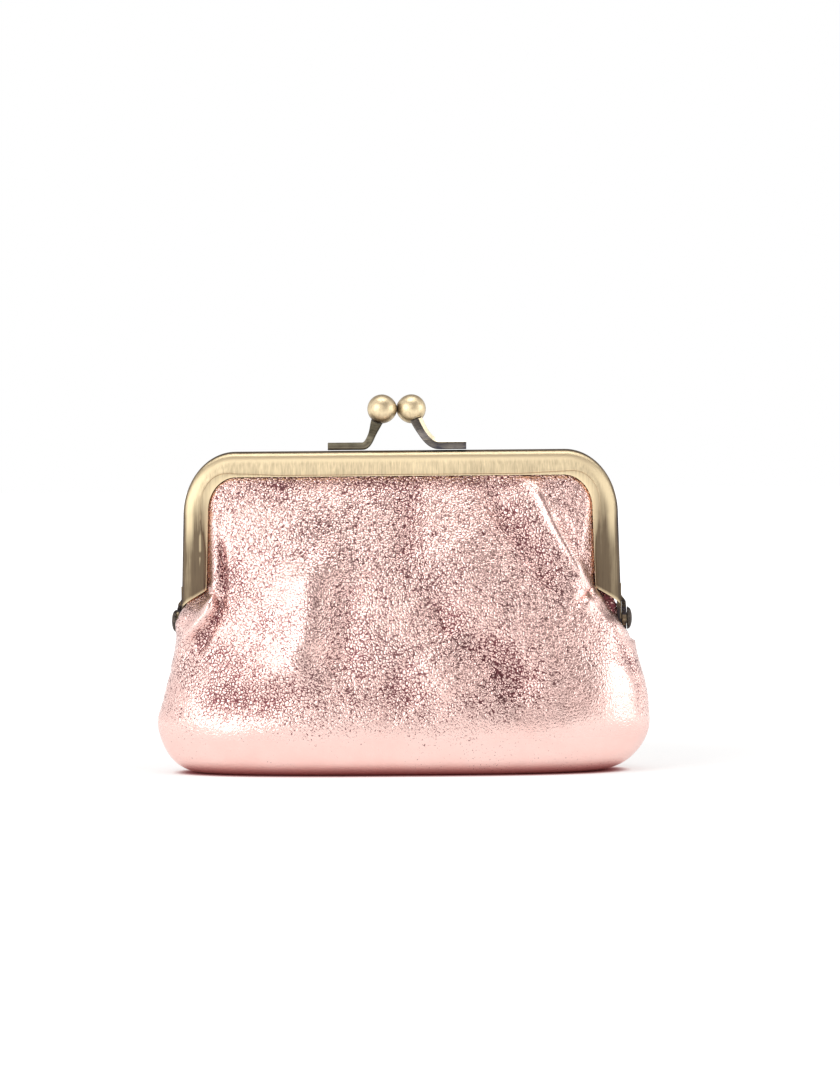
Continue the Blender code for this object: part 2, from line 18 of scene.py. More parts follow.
import bmesh
import bpy
import numpy as np
from bpy.types import ID, Material, Node, NodeSocket, NodeTree, Object
from mathutils import Matrix, Vector, noise


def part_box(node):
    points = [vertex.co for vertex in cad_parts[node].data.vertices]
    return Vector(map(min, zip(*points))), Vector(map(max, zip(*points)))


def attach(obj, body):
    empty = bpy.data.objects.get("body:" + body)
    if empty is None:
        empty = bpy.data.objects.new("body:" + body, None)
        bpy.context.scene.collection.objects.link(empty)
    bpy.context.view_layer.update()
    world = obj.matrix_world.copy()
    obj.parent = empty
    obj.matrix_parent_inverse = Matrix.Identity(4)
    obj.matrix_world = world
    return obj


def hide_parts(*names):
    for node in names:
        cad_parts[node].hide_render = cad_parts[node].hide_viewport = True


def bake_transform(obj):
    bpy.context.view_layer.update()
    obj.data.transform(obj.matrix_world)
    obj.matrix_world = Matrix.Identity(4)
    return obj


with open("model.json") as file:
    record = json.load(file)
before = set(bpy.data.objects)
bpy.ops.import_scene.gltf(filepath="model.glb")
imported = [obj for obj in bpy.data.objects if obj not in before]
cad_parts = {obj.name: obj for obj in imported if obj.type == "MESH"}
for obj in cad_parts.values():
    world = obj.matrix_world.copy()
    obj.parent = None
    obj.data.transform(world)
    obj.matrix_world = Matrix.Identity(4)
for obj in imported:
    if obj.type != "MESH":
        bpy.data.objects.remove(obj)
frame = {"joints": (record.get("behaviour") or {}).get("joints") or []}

Pair = tuple[float, float]
Triple = tuple[float, float, float]
Table = tuple[Pair, ...]

LOG = logging.getLogger("purse")
MM = 0.001
# Near-black plating colour: the rivets are drawn in it, and patina and painted shade run into it where they
# add up, above all on the ears.
DARK_PLATE_AND_SHADE = (0.055, 0.046, 0.050)
REST_PLACE = "rest_place"
FOLD_PAINTED_LIGHT_AND_SHADE = "fold_tone"
RUB_AND_HIGHLIGHT = "worn_rim"
PATINA_AND_SHADE = "dark_patina"


class Half(Enum):
    """The two halves that the hinge joins."""

    FRONT = "front"
    BACK = "back"

    @property
    def body(self) -> str:
        """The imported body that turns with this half."""
        return f"{self.value}_half"

    @property
    def turn(self) -> Matrix:
        """What carries a piece made for the front to this half."""
        angle = 0.0 if self is Half.FRONT else math.pi
        return Matrix.Rotation(angle, 4, "Z")


class Brush(Enum):
    """How the plating of a brass piece was brushed, as the stretch of its lines along X, Y and Z."""

    UPRIGHT = (1.0, 1.0, 0.035)
    ACROSS = (0.12, 1.0, 1.0)
    ALL_ROUND = (0.6, 1.0, 0.3)


def smooth(value: Any, low: float = 0.0, high: float = 1.0) -> Any:
    """A smooth step from 0 to 1.

    Args:
        value: A number or an array.
        low: Where the step starts.
        high: Where the step ends.

    Returns:
        The step at each value.
    """
    share = np.clip((np.asarray(value, float) - low) / (high - low), 0.0, 1.0)
    return share * share * (3 - 2 * share)


def soft_least(first: np.ndarray, second: np.ndarray, reach: float) -> np.ndarray:
    """The lesser of two arrays, rounded off where they cross.

    Args:
        first: One array.
        second: The other.
        reach: Over what difference the two are rounded into each other.

    Returns:
        The rounded lesser values.
    """
    near = np.clip(0.5 + (second - first) / (2 * reach), 0.0, 1.0)
    return second * (1 - near) + first * near - reach * near * (1 - near)


def through(knots: Sequence[Pair], places: Any) -> np.ndarray:
    """A smooth curve through a short table.

    Args:
        knots: Pairs of place and value, in rising order of place.
        places: Where the curve is wanted.

    Returns:
        The curve's value at each place, held level beyond the ends.
    """
    at, value = (np.array(column, float) for column in zip(*knots))
    slope = np.gradient(value, at)
    where = np.clip(np.asarray(places, float), at[0], at[-1])
    index = np.clip(np.searchsorted(at, where) - 1, 0, len(at) - 2)
    width = at[index + 1] - at[index]
    share = (where - at[index]) / width
    rest = 1 - share
    return (
        value[index] * (1 + 2 * share) * rest**2
        + value[index + 1] * (3 - 2 * share) * share**2
        + width * rest * share * (slope[index] * rest - slope[index + 1] * share)
    )


def arc(
    centre: Pair, radii: Pair, start: float, end: float, steps: int
) -> list[Pair]:
    """Points on part of an ellipse.

    Args:
        centre: The ellipse's centre.
        radii: Its two half axes.
        start: First angle.
        end: Last angle.
        steps: Number of pieces.

    Returns:
        The points, first to last.
    """
    angles = [start + (end - start) * i / steps for i in range(steps + 1)]
    return [(centre[0] + radii[0] * math.cos(a), centre[1] + radii[1] * math.sin(a)) for a in angles]


def link(name: str, data: ID) -> Object:
    """Puts a mesh, curve, lamp or camera into the scene under a name.

    Args:
        name: The name of the data and of its object.
        data: The mesh, curve, lamp or camera.

    Returns:
        The new object.
    """
    data.name = name
    obj = bpy.data.objects.new(name, data)
    bpy.context.scene.collection.objects.link(obj)
    return obj


@contextmanager
def editing(obj: Object) -> Iterator[bmesh.types.BMesh]:
    """Opens a mesh for editing, and puts it back with its faces turned outwards.

    Args:
        obj: The mesh object.

    Yields:
        The open mesh.
    """
    bm = bmesh.new()
    bm.from_mesh(obj.data)
    bm.verts.ensure_lookup_table()
    yield bm
    bmesh.ops.recalc_face_normals(bm, faces=bm.faces)
    bm.to_mesh(obj.data)
    bm.free()


def settle(obj: Object) -> Object:
    """Turns an object's modifiers, curve or nodes into a plain mesh of its own.

    Args:
        obj: The object, which is used up.

    Returns:
        The plain mesh object, under the same name.
    """
    bpy.context.view_layer.update()
    graph = bpy.context.evaluated_depsgraph_get()
    mesh = bpy.data.meshes.new_from_object(obj.evaluated_get(graph), depsgraph=graph)
    mesh.transform(obj.matrix_world)
    name = obj.name
    bpy.data.objects.remove(obj)
    return link(name, mesh)


def combine(obj: Object, other: Object, operation: str) -> Object:
    """Joins or cuts a solid with another, which is used up.

    Args:
        obj: The solid that stays.
        other: The solid that joins it or cuts it.
        operation: UNION or DIFFERENCE.

    Returns:
        The result as a plain mesh object.
    """
    modifier = obj.modifiers.new(operation, "BOOLEAN")
    modifier.operation = operation
    modifier.solver = "EXACT"
    modifier.object = other
    result = settle(obj)
    bpy.data.objects.remove(other)
    return result


def grid_object(name: str, places: np.ndarray, cyclic_rows: bool = False) -> Object:
    """A sheet of quads through a grid of points, with a UV map in metres along rows and columns.

    Args:
        name: The object's name.
        places: Array of rows, columns and three coordinates.
        cyclic_rows: Whether each row closes on itself.

    Returns:
        The sheet.
    """
    rows, columns = places.shape[:2]
    number = np.arange(rows * columns).reshape(rows, columns)
    after = np.roll(number, -1, axis=1)
    last = columns if cyclic_rows else columns - 1
    corners = [number[:-1, :last], after[:-1, :last], after[1:, :last], number[1:, :last]]
    quads = np.stack(corners, axis=-1).reshape(-1, 4)
    mesh = bpy.data.meshes.new(name)
    mesh.from_pydata(places.reshape(-1, 3).tolist(), [], quads.tolist())
    across = np.linalg.norm(np.diff(places, axis=1, prepend=places[:, :1]), axis=2).cumsum(1)
    along = np.linalg.norm(np.diff(places, axis=0, prepend=places[:1]), axis=2).cumsum(0)
    flat = np.stack([across.ravel()[quads], along.ravel()[quads]], axis=-1)
    layer = mesh.uv_layers.new(name="UVMap")
    layer.data.foreach_set("uv", flat.astype(np.float32).ravel())
    return link(name, mesh)


def give_attribute(obj: Object, name: str, values: np.ndarray) -> None:
    """Stores one number or one vector for each point of a mesh.

    Args:
        obj: The mesh object.
        name: The attribute's name.
        values: One row for each point.
    """
    vector = values.ndim == 2
    kind, key = ("FLOAT_VECTOR", "vector") if vector else ("FLOAT", "value")
    attribute = obj.data.attributes.new(name, kind, "POINT")
    attribute.data.foreach_set(key, values.astype(np.float32).ravel())


def points_of(obj: Object) -> np.ndarray:
    """The places of a mesh's points, one row each.

    Args:
        obj: The mesh object.

    Returns:
        Three coordinates in each row.
    """
    places = np.zeros(len(obj.data.vertices) * 3)
    obj.data.vertices.foreach_get("co", places)
    return places.reshape(-1, 3)


def shade(obj: Object, angle: float = math.radians(38)) -> None:
    """Smooth shading, with edges past this angle kept sharp."""
    obj.data.shade_smooth()
    obj.data.set_sharp_from_angle(angle=angle)


def dress(
    obj: Object, materials: Sequence[Material], nodes: Sequence[str]
) -> None:
    """Gives a finished piece its materials and hides the CAD nodes that it stands for.

    Args:
        obj: The piece.
        materials: Its materials, in the order of its faces' indices.
        nodes: The CAD nodes that it replaces.
    """
    obj.data.materials.clear()
    for material in materials:
        obj.data.materials.append(material)
    if nodes:
        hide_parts(*nodes)
    LOG.info("%s: %d points, %s", obj.name, len(obj.data.vertices), materials[0].name)


class NodeSheet:
    """Places nodes in one tree and joins them."""

    def __init__(self, tree: NodeTree) -> None:
        """Starts on an empty tree."""
        self.tree = tree
        tree.nodes.clear()

    def join(self, node: Node, inputs: dict[str | int, Any]) -> None:
        """Sets a node's inputs.

        Args:
            node: The node.
            inputs: A value, or a socket to join, for each input by name or number.
        """
        for key, value in inputs.items():
            if isinstance(value, NodeSocket):
                self.tree.links.new(value, node.inputs[key])
            else:
                node.inputs[key].default_value = value

    def add(self, kind: str, inputs: dict[str | int, Any] | None = None, **settings: Any) -> Node:
        """Adds one node.

        Args:
            kind: Blender's name of the node's type.
            inputs: A value, or a socket to join, for each input by name or number.
            settings: The node's own settings.

        Returns:
            The new node.
        """
        node = self.tree.nodes.new(kind)
        for name, value in settings.items():
            setattr(node, name, value)
        self.join(node, inputs or {})
        return node

    def maths(self, operation: str, *values: Any) -> NodeSocket:
        """The result of a sum, product or other operation on one to three values."""
        inputs = dict(enumerate(values))
        return self.add("ShaderNodeMath", inputs, operation=operation).outputs[0]

    def product(self, *values: Any) -> NodeSocket:
        """Any number of values multiplied together."""
        return reduce(lambda first, second: self.maths("MULTIPLY", first, second), values)

    def vector(self, operation: str, first: Any, second: Any) -> NodeSocket:
        """The result of an operation on a vector and another vector, or a number that scales it."""
        key = "Scale" if operation == "SCALE" else 1
        return self.add("ShaderNodeVectorMath", {0: first, key: second}, operation=operation).outputs[0]

    def between(self, value: Any, low: float, high: float, first: float = 0.0, last: float = 1.0) -> Any:
        """A smooth step of a value.

        Args:
            value: The socket that is stepped.
            low: Where the step starts.
            high: Where the step ends.
            first: The result below the step.
            last: The result above it.

        Returns:
            The output socket.
        """
        inputs = {"Value": value, 1: low, 2: high, 3: first, 4: last}
        node = self.add("ShaderNodeMapRange", inputs, interpolation_type="SMOOTHSTEP")
        return node.outputs[0]

    def noise(
        self, place: Any, scale: Any, detail: float, roughness: float = 0.5, output: str | int = 0
    ) -> NodeSocket:
        """A noise texture.

        Args:
            place: The socket that it is laid on.
            scale: How many lumps there are to a metre.
            detail: How often finer noise is added.
            roughness: How strong the finer noise is.
            output: Which output is wanted, the value or the colour.

        Returns:
            The output socket.
        """
        inputs = {"Vector": place, "Scale": scale, "Detail": detail, "Roughness": roughness}
        return self.add("ShaderNodeTexNoise", inputs).outputs[output]

    def attribute(self, name: str, output: str = "Fac") -> NodeSocket:
        """What a piece's points carry under a name."""
        return self.add("ShaderNodeAttribute", attribute_name=name).outputs[output]

    def bump(self, height: Any, distance: float, strength: Any) -> NodeSocket:
        """A normal that a height bends."""
        inputs = {"Height": height, "Distance": distance, "Strength": strength}
        return self.add("ShaderNodeBump", inputs).outputs[0]

    def tint(self, share: Any, first: Any, second: Any) -> NodeSocket:
        """Two colours, each given as such or as a socket, mixed by the share of the second."""
        inputs = {0: share, 6: paint(first), 7: paint(second)}
        return self.add("ShaderNodeMix", inputs, data_type="RGBA").outputs[2]

    def group(self, tree: NodeTree, inputs: dict[str, Any]) -> Node:
        """Places a shared node group with its own values."""
        return self.add("ShaderNodeGroup", inputs, node_tree=tree)


def paint(colour: Any) -> Any:
    """A colour with its alpha, or a socket as it is."""
    return colour if isinstance(colour, NodeSocket) else (*colour, 1.0)


class MaterialSheet(NodeSheet):
    """The node sheet of a new material."""

    def __init__(self, name: str) -> None:
        """Starts the material.

        Args:
            name: The material's name.
        """
        self.material = bpy.data.materials.new(name)
        self.material.use_nodes = True
        super().__init__(self.material.node_tree)

    def end(self, shader: Node) -> Material:
        """Ends the material in a shader."""
        self.add("ShaderNodeOutputMaterial", {"Surface": shader.outputs[0]})
        return self.material

    def principled(self, inputs: dict[str, Any]) -> Material:
        """Ends the material in a Principled shader with these inputs."""
        return self.end(self.add("ShaderNodeBsdfPrincipled", inputs))


def shared_group(
    name: str, inputs: dict[str, float | None], outputs: Sequence[str]
) -> tuple[NodeSheet, Any, Node]:
    """Starts a shader node group that several materials use.

    Args:
        name: The group's name.
        inputs: Each input's first value, or None for a vector.
        outputs: The names of its values.

    Returns:
        The sheet to place nodes on, the group's given values and its output node.
    """
    tree = bpy.data.node_groups.new(name, "ShaderNodeTree")
    sheet = NodeSheet(tree)
    for key, value in inputs.items():
        kind = "NodeSocketVector" if value is None else "NodeSocketFloat"
        socket = tree.interface.new_socket(key, in_out="INPUT", socket_type=kind)
        if value is not None:
            socket.default_value = value
    for key in outputs:
        tree.interface.new_socket(key, in_out="OUTPUT", socket_type="NodeSocketFloat")
    return sheet, sheet.add("NodeGroupInput").outputs, sheet.add("NodeGroupOutput")


@cache
def mottle_group() -> NodeTree:
    """Soft patches of two sizes, for the uneven colour that every finish has.

    Returns:
        The group, built once.
    """
    sheet, given, result = shared_group("uneven_patches", {"Place": None, "Scale": 100.0}, ["Patches"])
    fine_scale = sheet.maths("MULTIPLY", given["Scale"], 4.7)
    broad = sheet.maths("MULTIPLY", sheet.noise(given["Place"], given["Scale"], 2.0), 0.65)
    fine = sheet.maths("MULTIPLY", sheet.noise(given["Place"], fine_scale, 3.0), 0.35)
    sheet.join(result, {"Patches": sheet.between(sheet.maths("ADD", broad, fine), 0.32, 0.68)})
    return sheet.tree


@cache
def brushed_group() -> NodeTree:
    """Fine parallel lines and a few deeper scratches along them.

    Returns:
        The group, built once.
    """
    values = {"Place": None, "Stretch": None, "Lines": 4200.0, "Scratches": 0.5}
    sheet, given, result = shared_group("brushed_lines", values, ["Lines", "Scratches"])
    place = sheet.vector("MULTIPLY", given["Place"], given["Stretch"])
    lines = sheet.noise(place, given["Lines"], 2.0, roughness=0.6)
    deep = sheet.noise(place, sheet.maths("MULTIPLY", given["Lines"], 0.3), 1.0)
    spots = sheet.noise(given["Place"], 260.0, 1.0)
    cut = sheet.product(sheet.between(deep, 0.66, 0.72), sheet.between(spots, 0.52, 0.62), given["Scratches"])
    sheet.join(result, {"Lines": lines, "Scratches": cut})
    return sheet.tree


@cache
def weave_group() -> NodeTree:
    """Plain weave on a UV map in metres: how high the threads stand.

    Returns:
        The group, built once.
    """
    sheet, given, result = shared_group("plain_weave", {"Place": None, "Pitch": 0.0004}, ["Height"])
    parts = sheet.add("ShaderNodeSeparateXYZ", {0: given["Place"]})
    waves = []
    for axis in ("X", "Y"):
        turns = sheet.maths("DIVIDE", parts.outputs[axis], given["Pitch"])
        waves.append(sheet.maths("SINE", sheet.maths("MULTIPLY", turns, math.pi)))
    ridge = sheet.product(*(sheet.maths("ABSOLUTE", wave) for wave in waves))
    sheet.join(result, {"Height": sheet.maths("MULTIPLY_ADD", sheet.product(*waves), 0.35, ridge)})
    return sheet.tree


@dataclass(frozen=True)
class AntiqueBrass:
    """Brass plating, brushed, with patina and painted shade from its points, painted shade down the legs, and
    rubbed edges and painted highlights.
    """

    name: str
    bright: Triple = (0.86, 0.71, 0.46)
    patina: Triple = (0.20, 0.150, 0.098)
    patina_share: float = 0.0
    leg_top: float = 0.0
    leg_foot: float = 0.0
    leg_painted_shade: float = 0.84
    brush: Brush = Brush.UPRIGHT
    line_contrast: float = 0.5
    roughness: float = 0.42
    line_depth: float = 0.00001
    stretch: float = 0.9

    @cache
    def material(self) -> Material:
        """Builds the finish, once for all pieces that have it.

        Returns:
            The material.
        """
        sheet = MaterialSheet(self.name)
        place = sheet.add("ShaderNodeTexCoord").outputs["Object"]
        patches = sheet.group(mottle_group(), {"Place": place, "Scale": 90.0}).outputs[0]
        brushed = sheet.group(brushed_group(), {"Place": place, "Stretch": self.brush.value, "Lines": 3000.0})
        lines, scratches = brushed.outputs["Lines"], brushed.outputs["Scratches"]
        # The points' own darkness: patina inside the frame's channel, and painted shade on the ears, the
        # balls and along the bend.
        dark = sheet.maths("ADD", sheet.attribute(PATINA_AND_SHADE), self.patina_share)
        # Painted shade down the legs: darker below leg_top, fully so below leg_foot.
        if self.leg_top > self.leg_foot:
            height = sheet.add("ShaderNodeSeparateXYZ", {0: place}).outputs["Z"]
            legs = sheet.between(height, self.leg_foot, self.leg_top, self.leg_painted_shade, 0.0)
            dark = sheet.maths("ADD", legs, dark)
        dark = sheet.maths("ADD", dark, sheet.maths("MULTIPLY_ADD", patches, 0.16, -0.08))
        lines_share = sheet.maths("MULTIPLY_ADD", lines, self.line_contrast, -self.line_contrast / 2)
        dark = sheet.maths("ADD", dark, lines_share)
        # Rubbing, painted highlights and scratches take the darkening off.
        bare_and_lit = sheet.maths("MAXIMUM", sheet.attribute(RUB_AND_HIGHLIGHT), scratches)
        dark = sheet.maths("MULTIPLY", dark, sheet.maths("SUBTRACT", 1.0, bare_and_lit))
        clamped = sheet.add("ShaderNodeClamp", {"Value": dark}).outputs[0]
        colour = sheet.tint(clamped, self.bright, self.patina)
        rough = sheet.maths("MULTIPLY_ADD", clamped, 0.06, self.roughness)
        # Past a dark share of 1.1 the colour runs into near black, where patina and painted shade add up.
        return sheet.principled(
            {
                "Base Color": sheet.tint(sheet.between(dark, 1.1, 1.7), colour, DARK_PLATE_AND_SHADE),
                "Roughness": sheet.maths("ADD", rough, sheet.maths("MULTIPLY", lines, 0.10)),
                "Normal": sheet.bump(sheet.maths("SUBTRACT", lines, scratches), self.line_depth, 0.8),
                "Metallic": 1.0,
                "Anisotropic": self.stretch,
                "Tangent": sheet.add("ShaderNodeCombineXYZ", {"X": 1.0}).outputs[0],
            }
        )


@dataclass(frozen=True)
class CrackledFoil:
    """Rose metallic foil on thin leather, crackled where it folds and smooth where it is stretched, with
    painted shade in the fold hollows and painted highlights on the ridges.
    """

    name: str = "rose_foil_leather"
    foil: Triple = (0.98, 0.66, 0.60)
    flake: Triple = (1.0, 0.76, 0.70)
    shade: Triple = (0.60, 0.38, 0.35)
    crack: Triple = (0.15, 0.042, 0.050)
    cells: float = 1300.0
    depth: float = 0.00008
    smooth_low: float = 0.005
    smooth_high: float = 0.019

    @cache
    def material(self) -> Material:
        """Builds the finish, once for all pieces that have it.

        Returns:
            The material.
        """
        sheet = MaterialSheet(self.name)
        place, tone = sheet.attribute(REST_PLACE, "Vector"), sheet.attribute(FOLD_PAINTED_LIGHT_AND_SHADE)
        patches = sheet.group(mottle_group(), {"Place": place, "Scale": 70.0}).outputs[0]
        shift = sheet.vector("SUBTRACT", sheet.noise(place, 900.0, 1.0, output="Color"), (0.5, 0.5, 0.5))
        warped = sheet.vector("ADD", place, sheet.vector("SCALE", shift, 0.0008))
        cells = sheet.add(
            "ShaderNodeTexVoronoi",
            {"Vector": warped, "Scale": self.cells, "Randomness": 1.0},
            feature="DISTANCE_TO_EDGE",
        ).outputs["Distance"]
        ridges = sheet.noise(warped, 2300.0, 2.0, roughness=0.6)
        grain = sheet.maths("MULTIPLY_ADD", ridges, 1.6, sheet.between(cells, 0.0, 0.32))
        height = sheet.add("ShaderNodeSeparateXYZ", {0: place}).outputs["Z"]
        crinkled = sheet.between(height, self.smooth_low, self.smooth_high)
        # Painted light and shade of the folds: in hollows more and darker cracks, a shade tint and deeper
        # grain; on ridges fewer cracks and flatter grain.
        hollow = sheet.maths("MAXIMUM", tone, 0.0)
        raised = sheet.maths("MAXIMUM", sheet.maths("MULTIPLY", tone, -1.0), 0.0)
        level = sheet.maths("MULTIPLY_ADD", hollow, 0.30, sheet.maths("MULTIPLY_ADD", crinkled, 0.40, 0.48))
        level = sheet.maths("MULTIPLY_ADD", raised, -0.30, level)
        level = sheet.maths("ADD", level, sheet.maths("MULTIPLY_ADD", patches, 0.3, -0.15))
        cracks = sheet.between(sheet.maths("SUBTRACT", level, grain), -0.10, 0.10)
        share = sheet.maths("MULTIPLY", cracks, sheet.maths("MULTIPLY_ADD", hollow, 0.06, 0.94))
        colour = sheet.tint(sheet.maths("MULTIPLY", patches, 0.5), self.foil, self.flake)
        colour = sheet.tint(sheet.maths("MULTIPLY", hollow, 0.35), colour, self.shade)
        strength = sheet.maths("MULTIPLY_ADD", crinkled, 0.66, 0.20)
        strength = sheet.maths("MULTIPLY_ADD", hollow, 0.3, strength)
        strength = sheet.maths("MULTIPLY", strength, sheet.maths("MULTIPLY_ADD", raised, -0.6, 1.0))
        rough = sheet.maths("MULTIPLY_ADD", crinkled, -0.13, 0.30)
        return sheet.principled(
            {
                "Base Color": sheet.tint(share, colour, self.crack),
                "Roughness": sheet.maths("MULTIPLY_ADD", share, 0.12, rough),
                "Normal": sheet.bump(grain, self.depth, strength),
                "Metallic": 0.93,
                "Coat Weight": 0.05,
                "Coat Roughness": 0.2,
            }
        )


@dataclass(frozen=True)
class WovenCloth:
    """Plain woven cotton, for the lining."""

    name: str = "lining_cloth"
    light: Triple = (0.80, 0.68, 0.58)
    dark: Triple = (0.58, 0.46, 0.38)
    pitch: float = 0.00042
    thread_height: float = 0.00012

    @cache
    def material(self) -> Material:
        """Builds the finish, once for all pieces that have it.

        Returns:
            The material.
        """
        sheet = MaterialSheet(self.name)
        flat = sheet.add("ShaderNodeUVMap", uv_map="UVMap").outputs[0]
        weave = sheet.group(weave_group(), {"Place": flat, "Pitch": self.pitch}).outputs[0]
        patches = sheet.group(mottle_group(), {"Place": flat, "Scale": 160.0}).outputs[0]
        colour = sheet.tint(sheet.between(weave, 0.0, 0.9), self.dark, self.light)
        return sheet.principled(
            {
                "Base Color": sheet.tint(sheet.maths("MULTIPLY", patches, 0.18), colour, self.dark),
                "Roughness": sheet.maths("MULTIPLY_ADD", patches, 0.08, 0.84),
                "Normal": sheet.bump(weave, self.thread_height, 0.9),
                "Sheen Weight": 0.25,
            }
        )


@dataclass(frozen=True)
class Fibre:
    """Twisted paper, suede or thread: a matt fibrous finish on Object coordinates."""

    name: str
    light: Triple
    dark: Triple
    fibres: float = 3200.0
    depth: float = 0.00006

    @cache
    def material(self) -> Material:
        """Builds the finish, once for all pieces that have it.

        Returns:
            The material.
        """
        sheet = MaterialSheet(self.name)
        place = sheet.add("ShaderNodeTexCoord").outputs["Object"]
        patches = sheet.group(mottle_group(), {"Place": place, "Scale": 400.0}).outputs[0]
        fibres = sheet.noise(place, self.fibres, 3.0)
        share = sheet.maths("MULTIPLY_ADD", patches, 0.4, sheet.maths("MULTIPLY", fibres, 0.5))
        return sheet.principled(
            {
                "Base Color": sheet.tint(share, self.light, self.dark),
                "Roughness": sheet.maths("MULTIPLY_ADD", fibres, 0.12, 0.80),
                "Normal": sheet.bump(fibres, self.depth, 0.8),
            }
        )


@dataclass(frozen=True)
class PurseSizes:
    """Sizes that several sub-assemblies share."""

    hinge_height: float
    frame_top: float
    face_y: float
    half_width: float = 0.0525
    flare: float = 0.0006
    corner_width: float = 0.0126
    corner_height: float = 0.0155
    face_width: float = 0.0061
    window_corner_width: float = 0.0068
    window_corner_height: float = 0.0080
    sheet: float = 0.0007
    fit_gap: float = 0.0003
    leg_foot: float = 0.0081
    ear_radius: float = 0.0034
    ear_sheet: float = 0.0010
    hinge_play: float = 0.0002

    @classmethod
    def from_frame(cls) -> "PurseSizes":
        """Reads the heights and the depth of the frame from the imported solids."""
        low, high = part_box("front_frame")
        return cls(hinge_height=frame["joints"][0]["pos_m"][2], frame_top=high.z, face_y=-low.y)

    @property
    def rise(self) -> float:
        """From the hinge axis to the top of the frame."""
        return self.frame_top - self.hinge_height

    @property
    def window_rise(self) -> float:
        """From the hinge axis to the top of the leather that shows."""
        return self.rise - self.face_width

    @property
    def parting(self) -> float:
        """From the plane between the halves to each of them."""
        return self.fit_gap / 2

    def outer(self) -> "Arch":
        """The frame's outline."""
        return Arch(self.half_width, self.rise, self.corner_width, self.corner_height, self.flare)

    def window(self) -> "Arch":
        """The outline of the leather that shows."""
        half = self.half_width - self.face_width
        return Arch(half, self.window_rise, self.window_corner_width, self.window_corner_height, self.flare)


@dataclass(frozen=True)
class Arch:
    """Leaning legs, elliptical corners and a level top, in heights above the hinge axis."""

    half_width: float
    rise: float
    corner_width: float
    corner_height: float
    flare: float

    def half_at(self, height: Any) -> Any:
        """Half width at each height above the hinge axis.

        Args:
            height: One height, or an array of them.

        Returns:
            The half widths.
        """
        foot = self.rise - self.corner_height
        height = np.asarray(height, float)
        leg = self.half_width - self.flare * height / foot
        share = np.clip((height - foot) / self.corner_height, 0.0, 1.0)
        corner = self.half_width - self.flare - self.corner_width * (1 - np.sqrt(1 - share**2))
        return np.where(height <= foot, leg, corner)

    def corner(self, angle: float) -> Vector:
        """The point of the right corner at this angle, 0 at the leg and a quarter turn at the top."""
        across = self.half_width - self.flare - self.corner_width * (1 - math.cos(angle))
        return Vector((across, self.rise - self.corner_height * (1 - math.sin(angle))))

    def inset(self, distance: float) -> "Arch":
        """The same arch, smaller by a distance all round."""
        sizes = (self.half_width, self.rise, self.corner_width, self.corner_height)
        return Arch(*(size - distance for size in sizes), self.flare)


@dataclass(frozen=True)
class HalfPiece:
    """A sub-assembly that is made once for each half."""

    sizes: PurseSizes
    half: Half


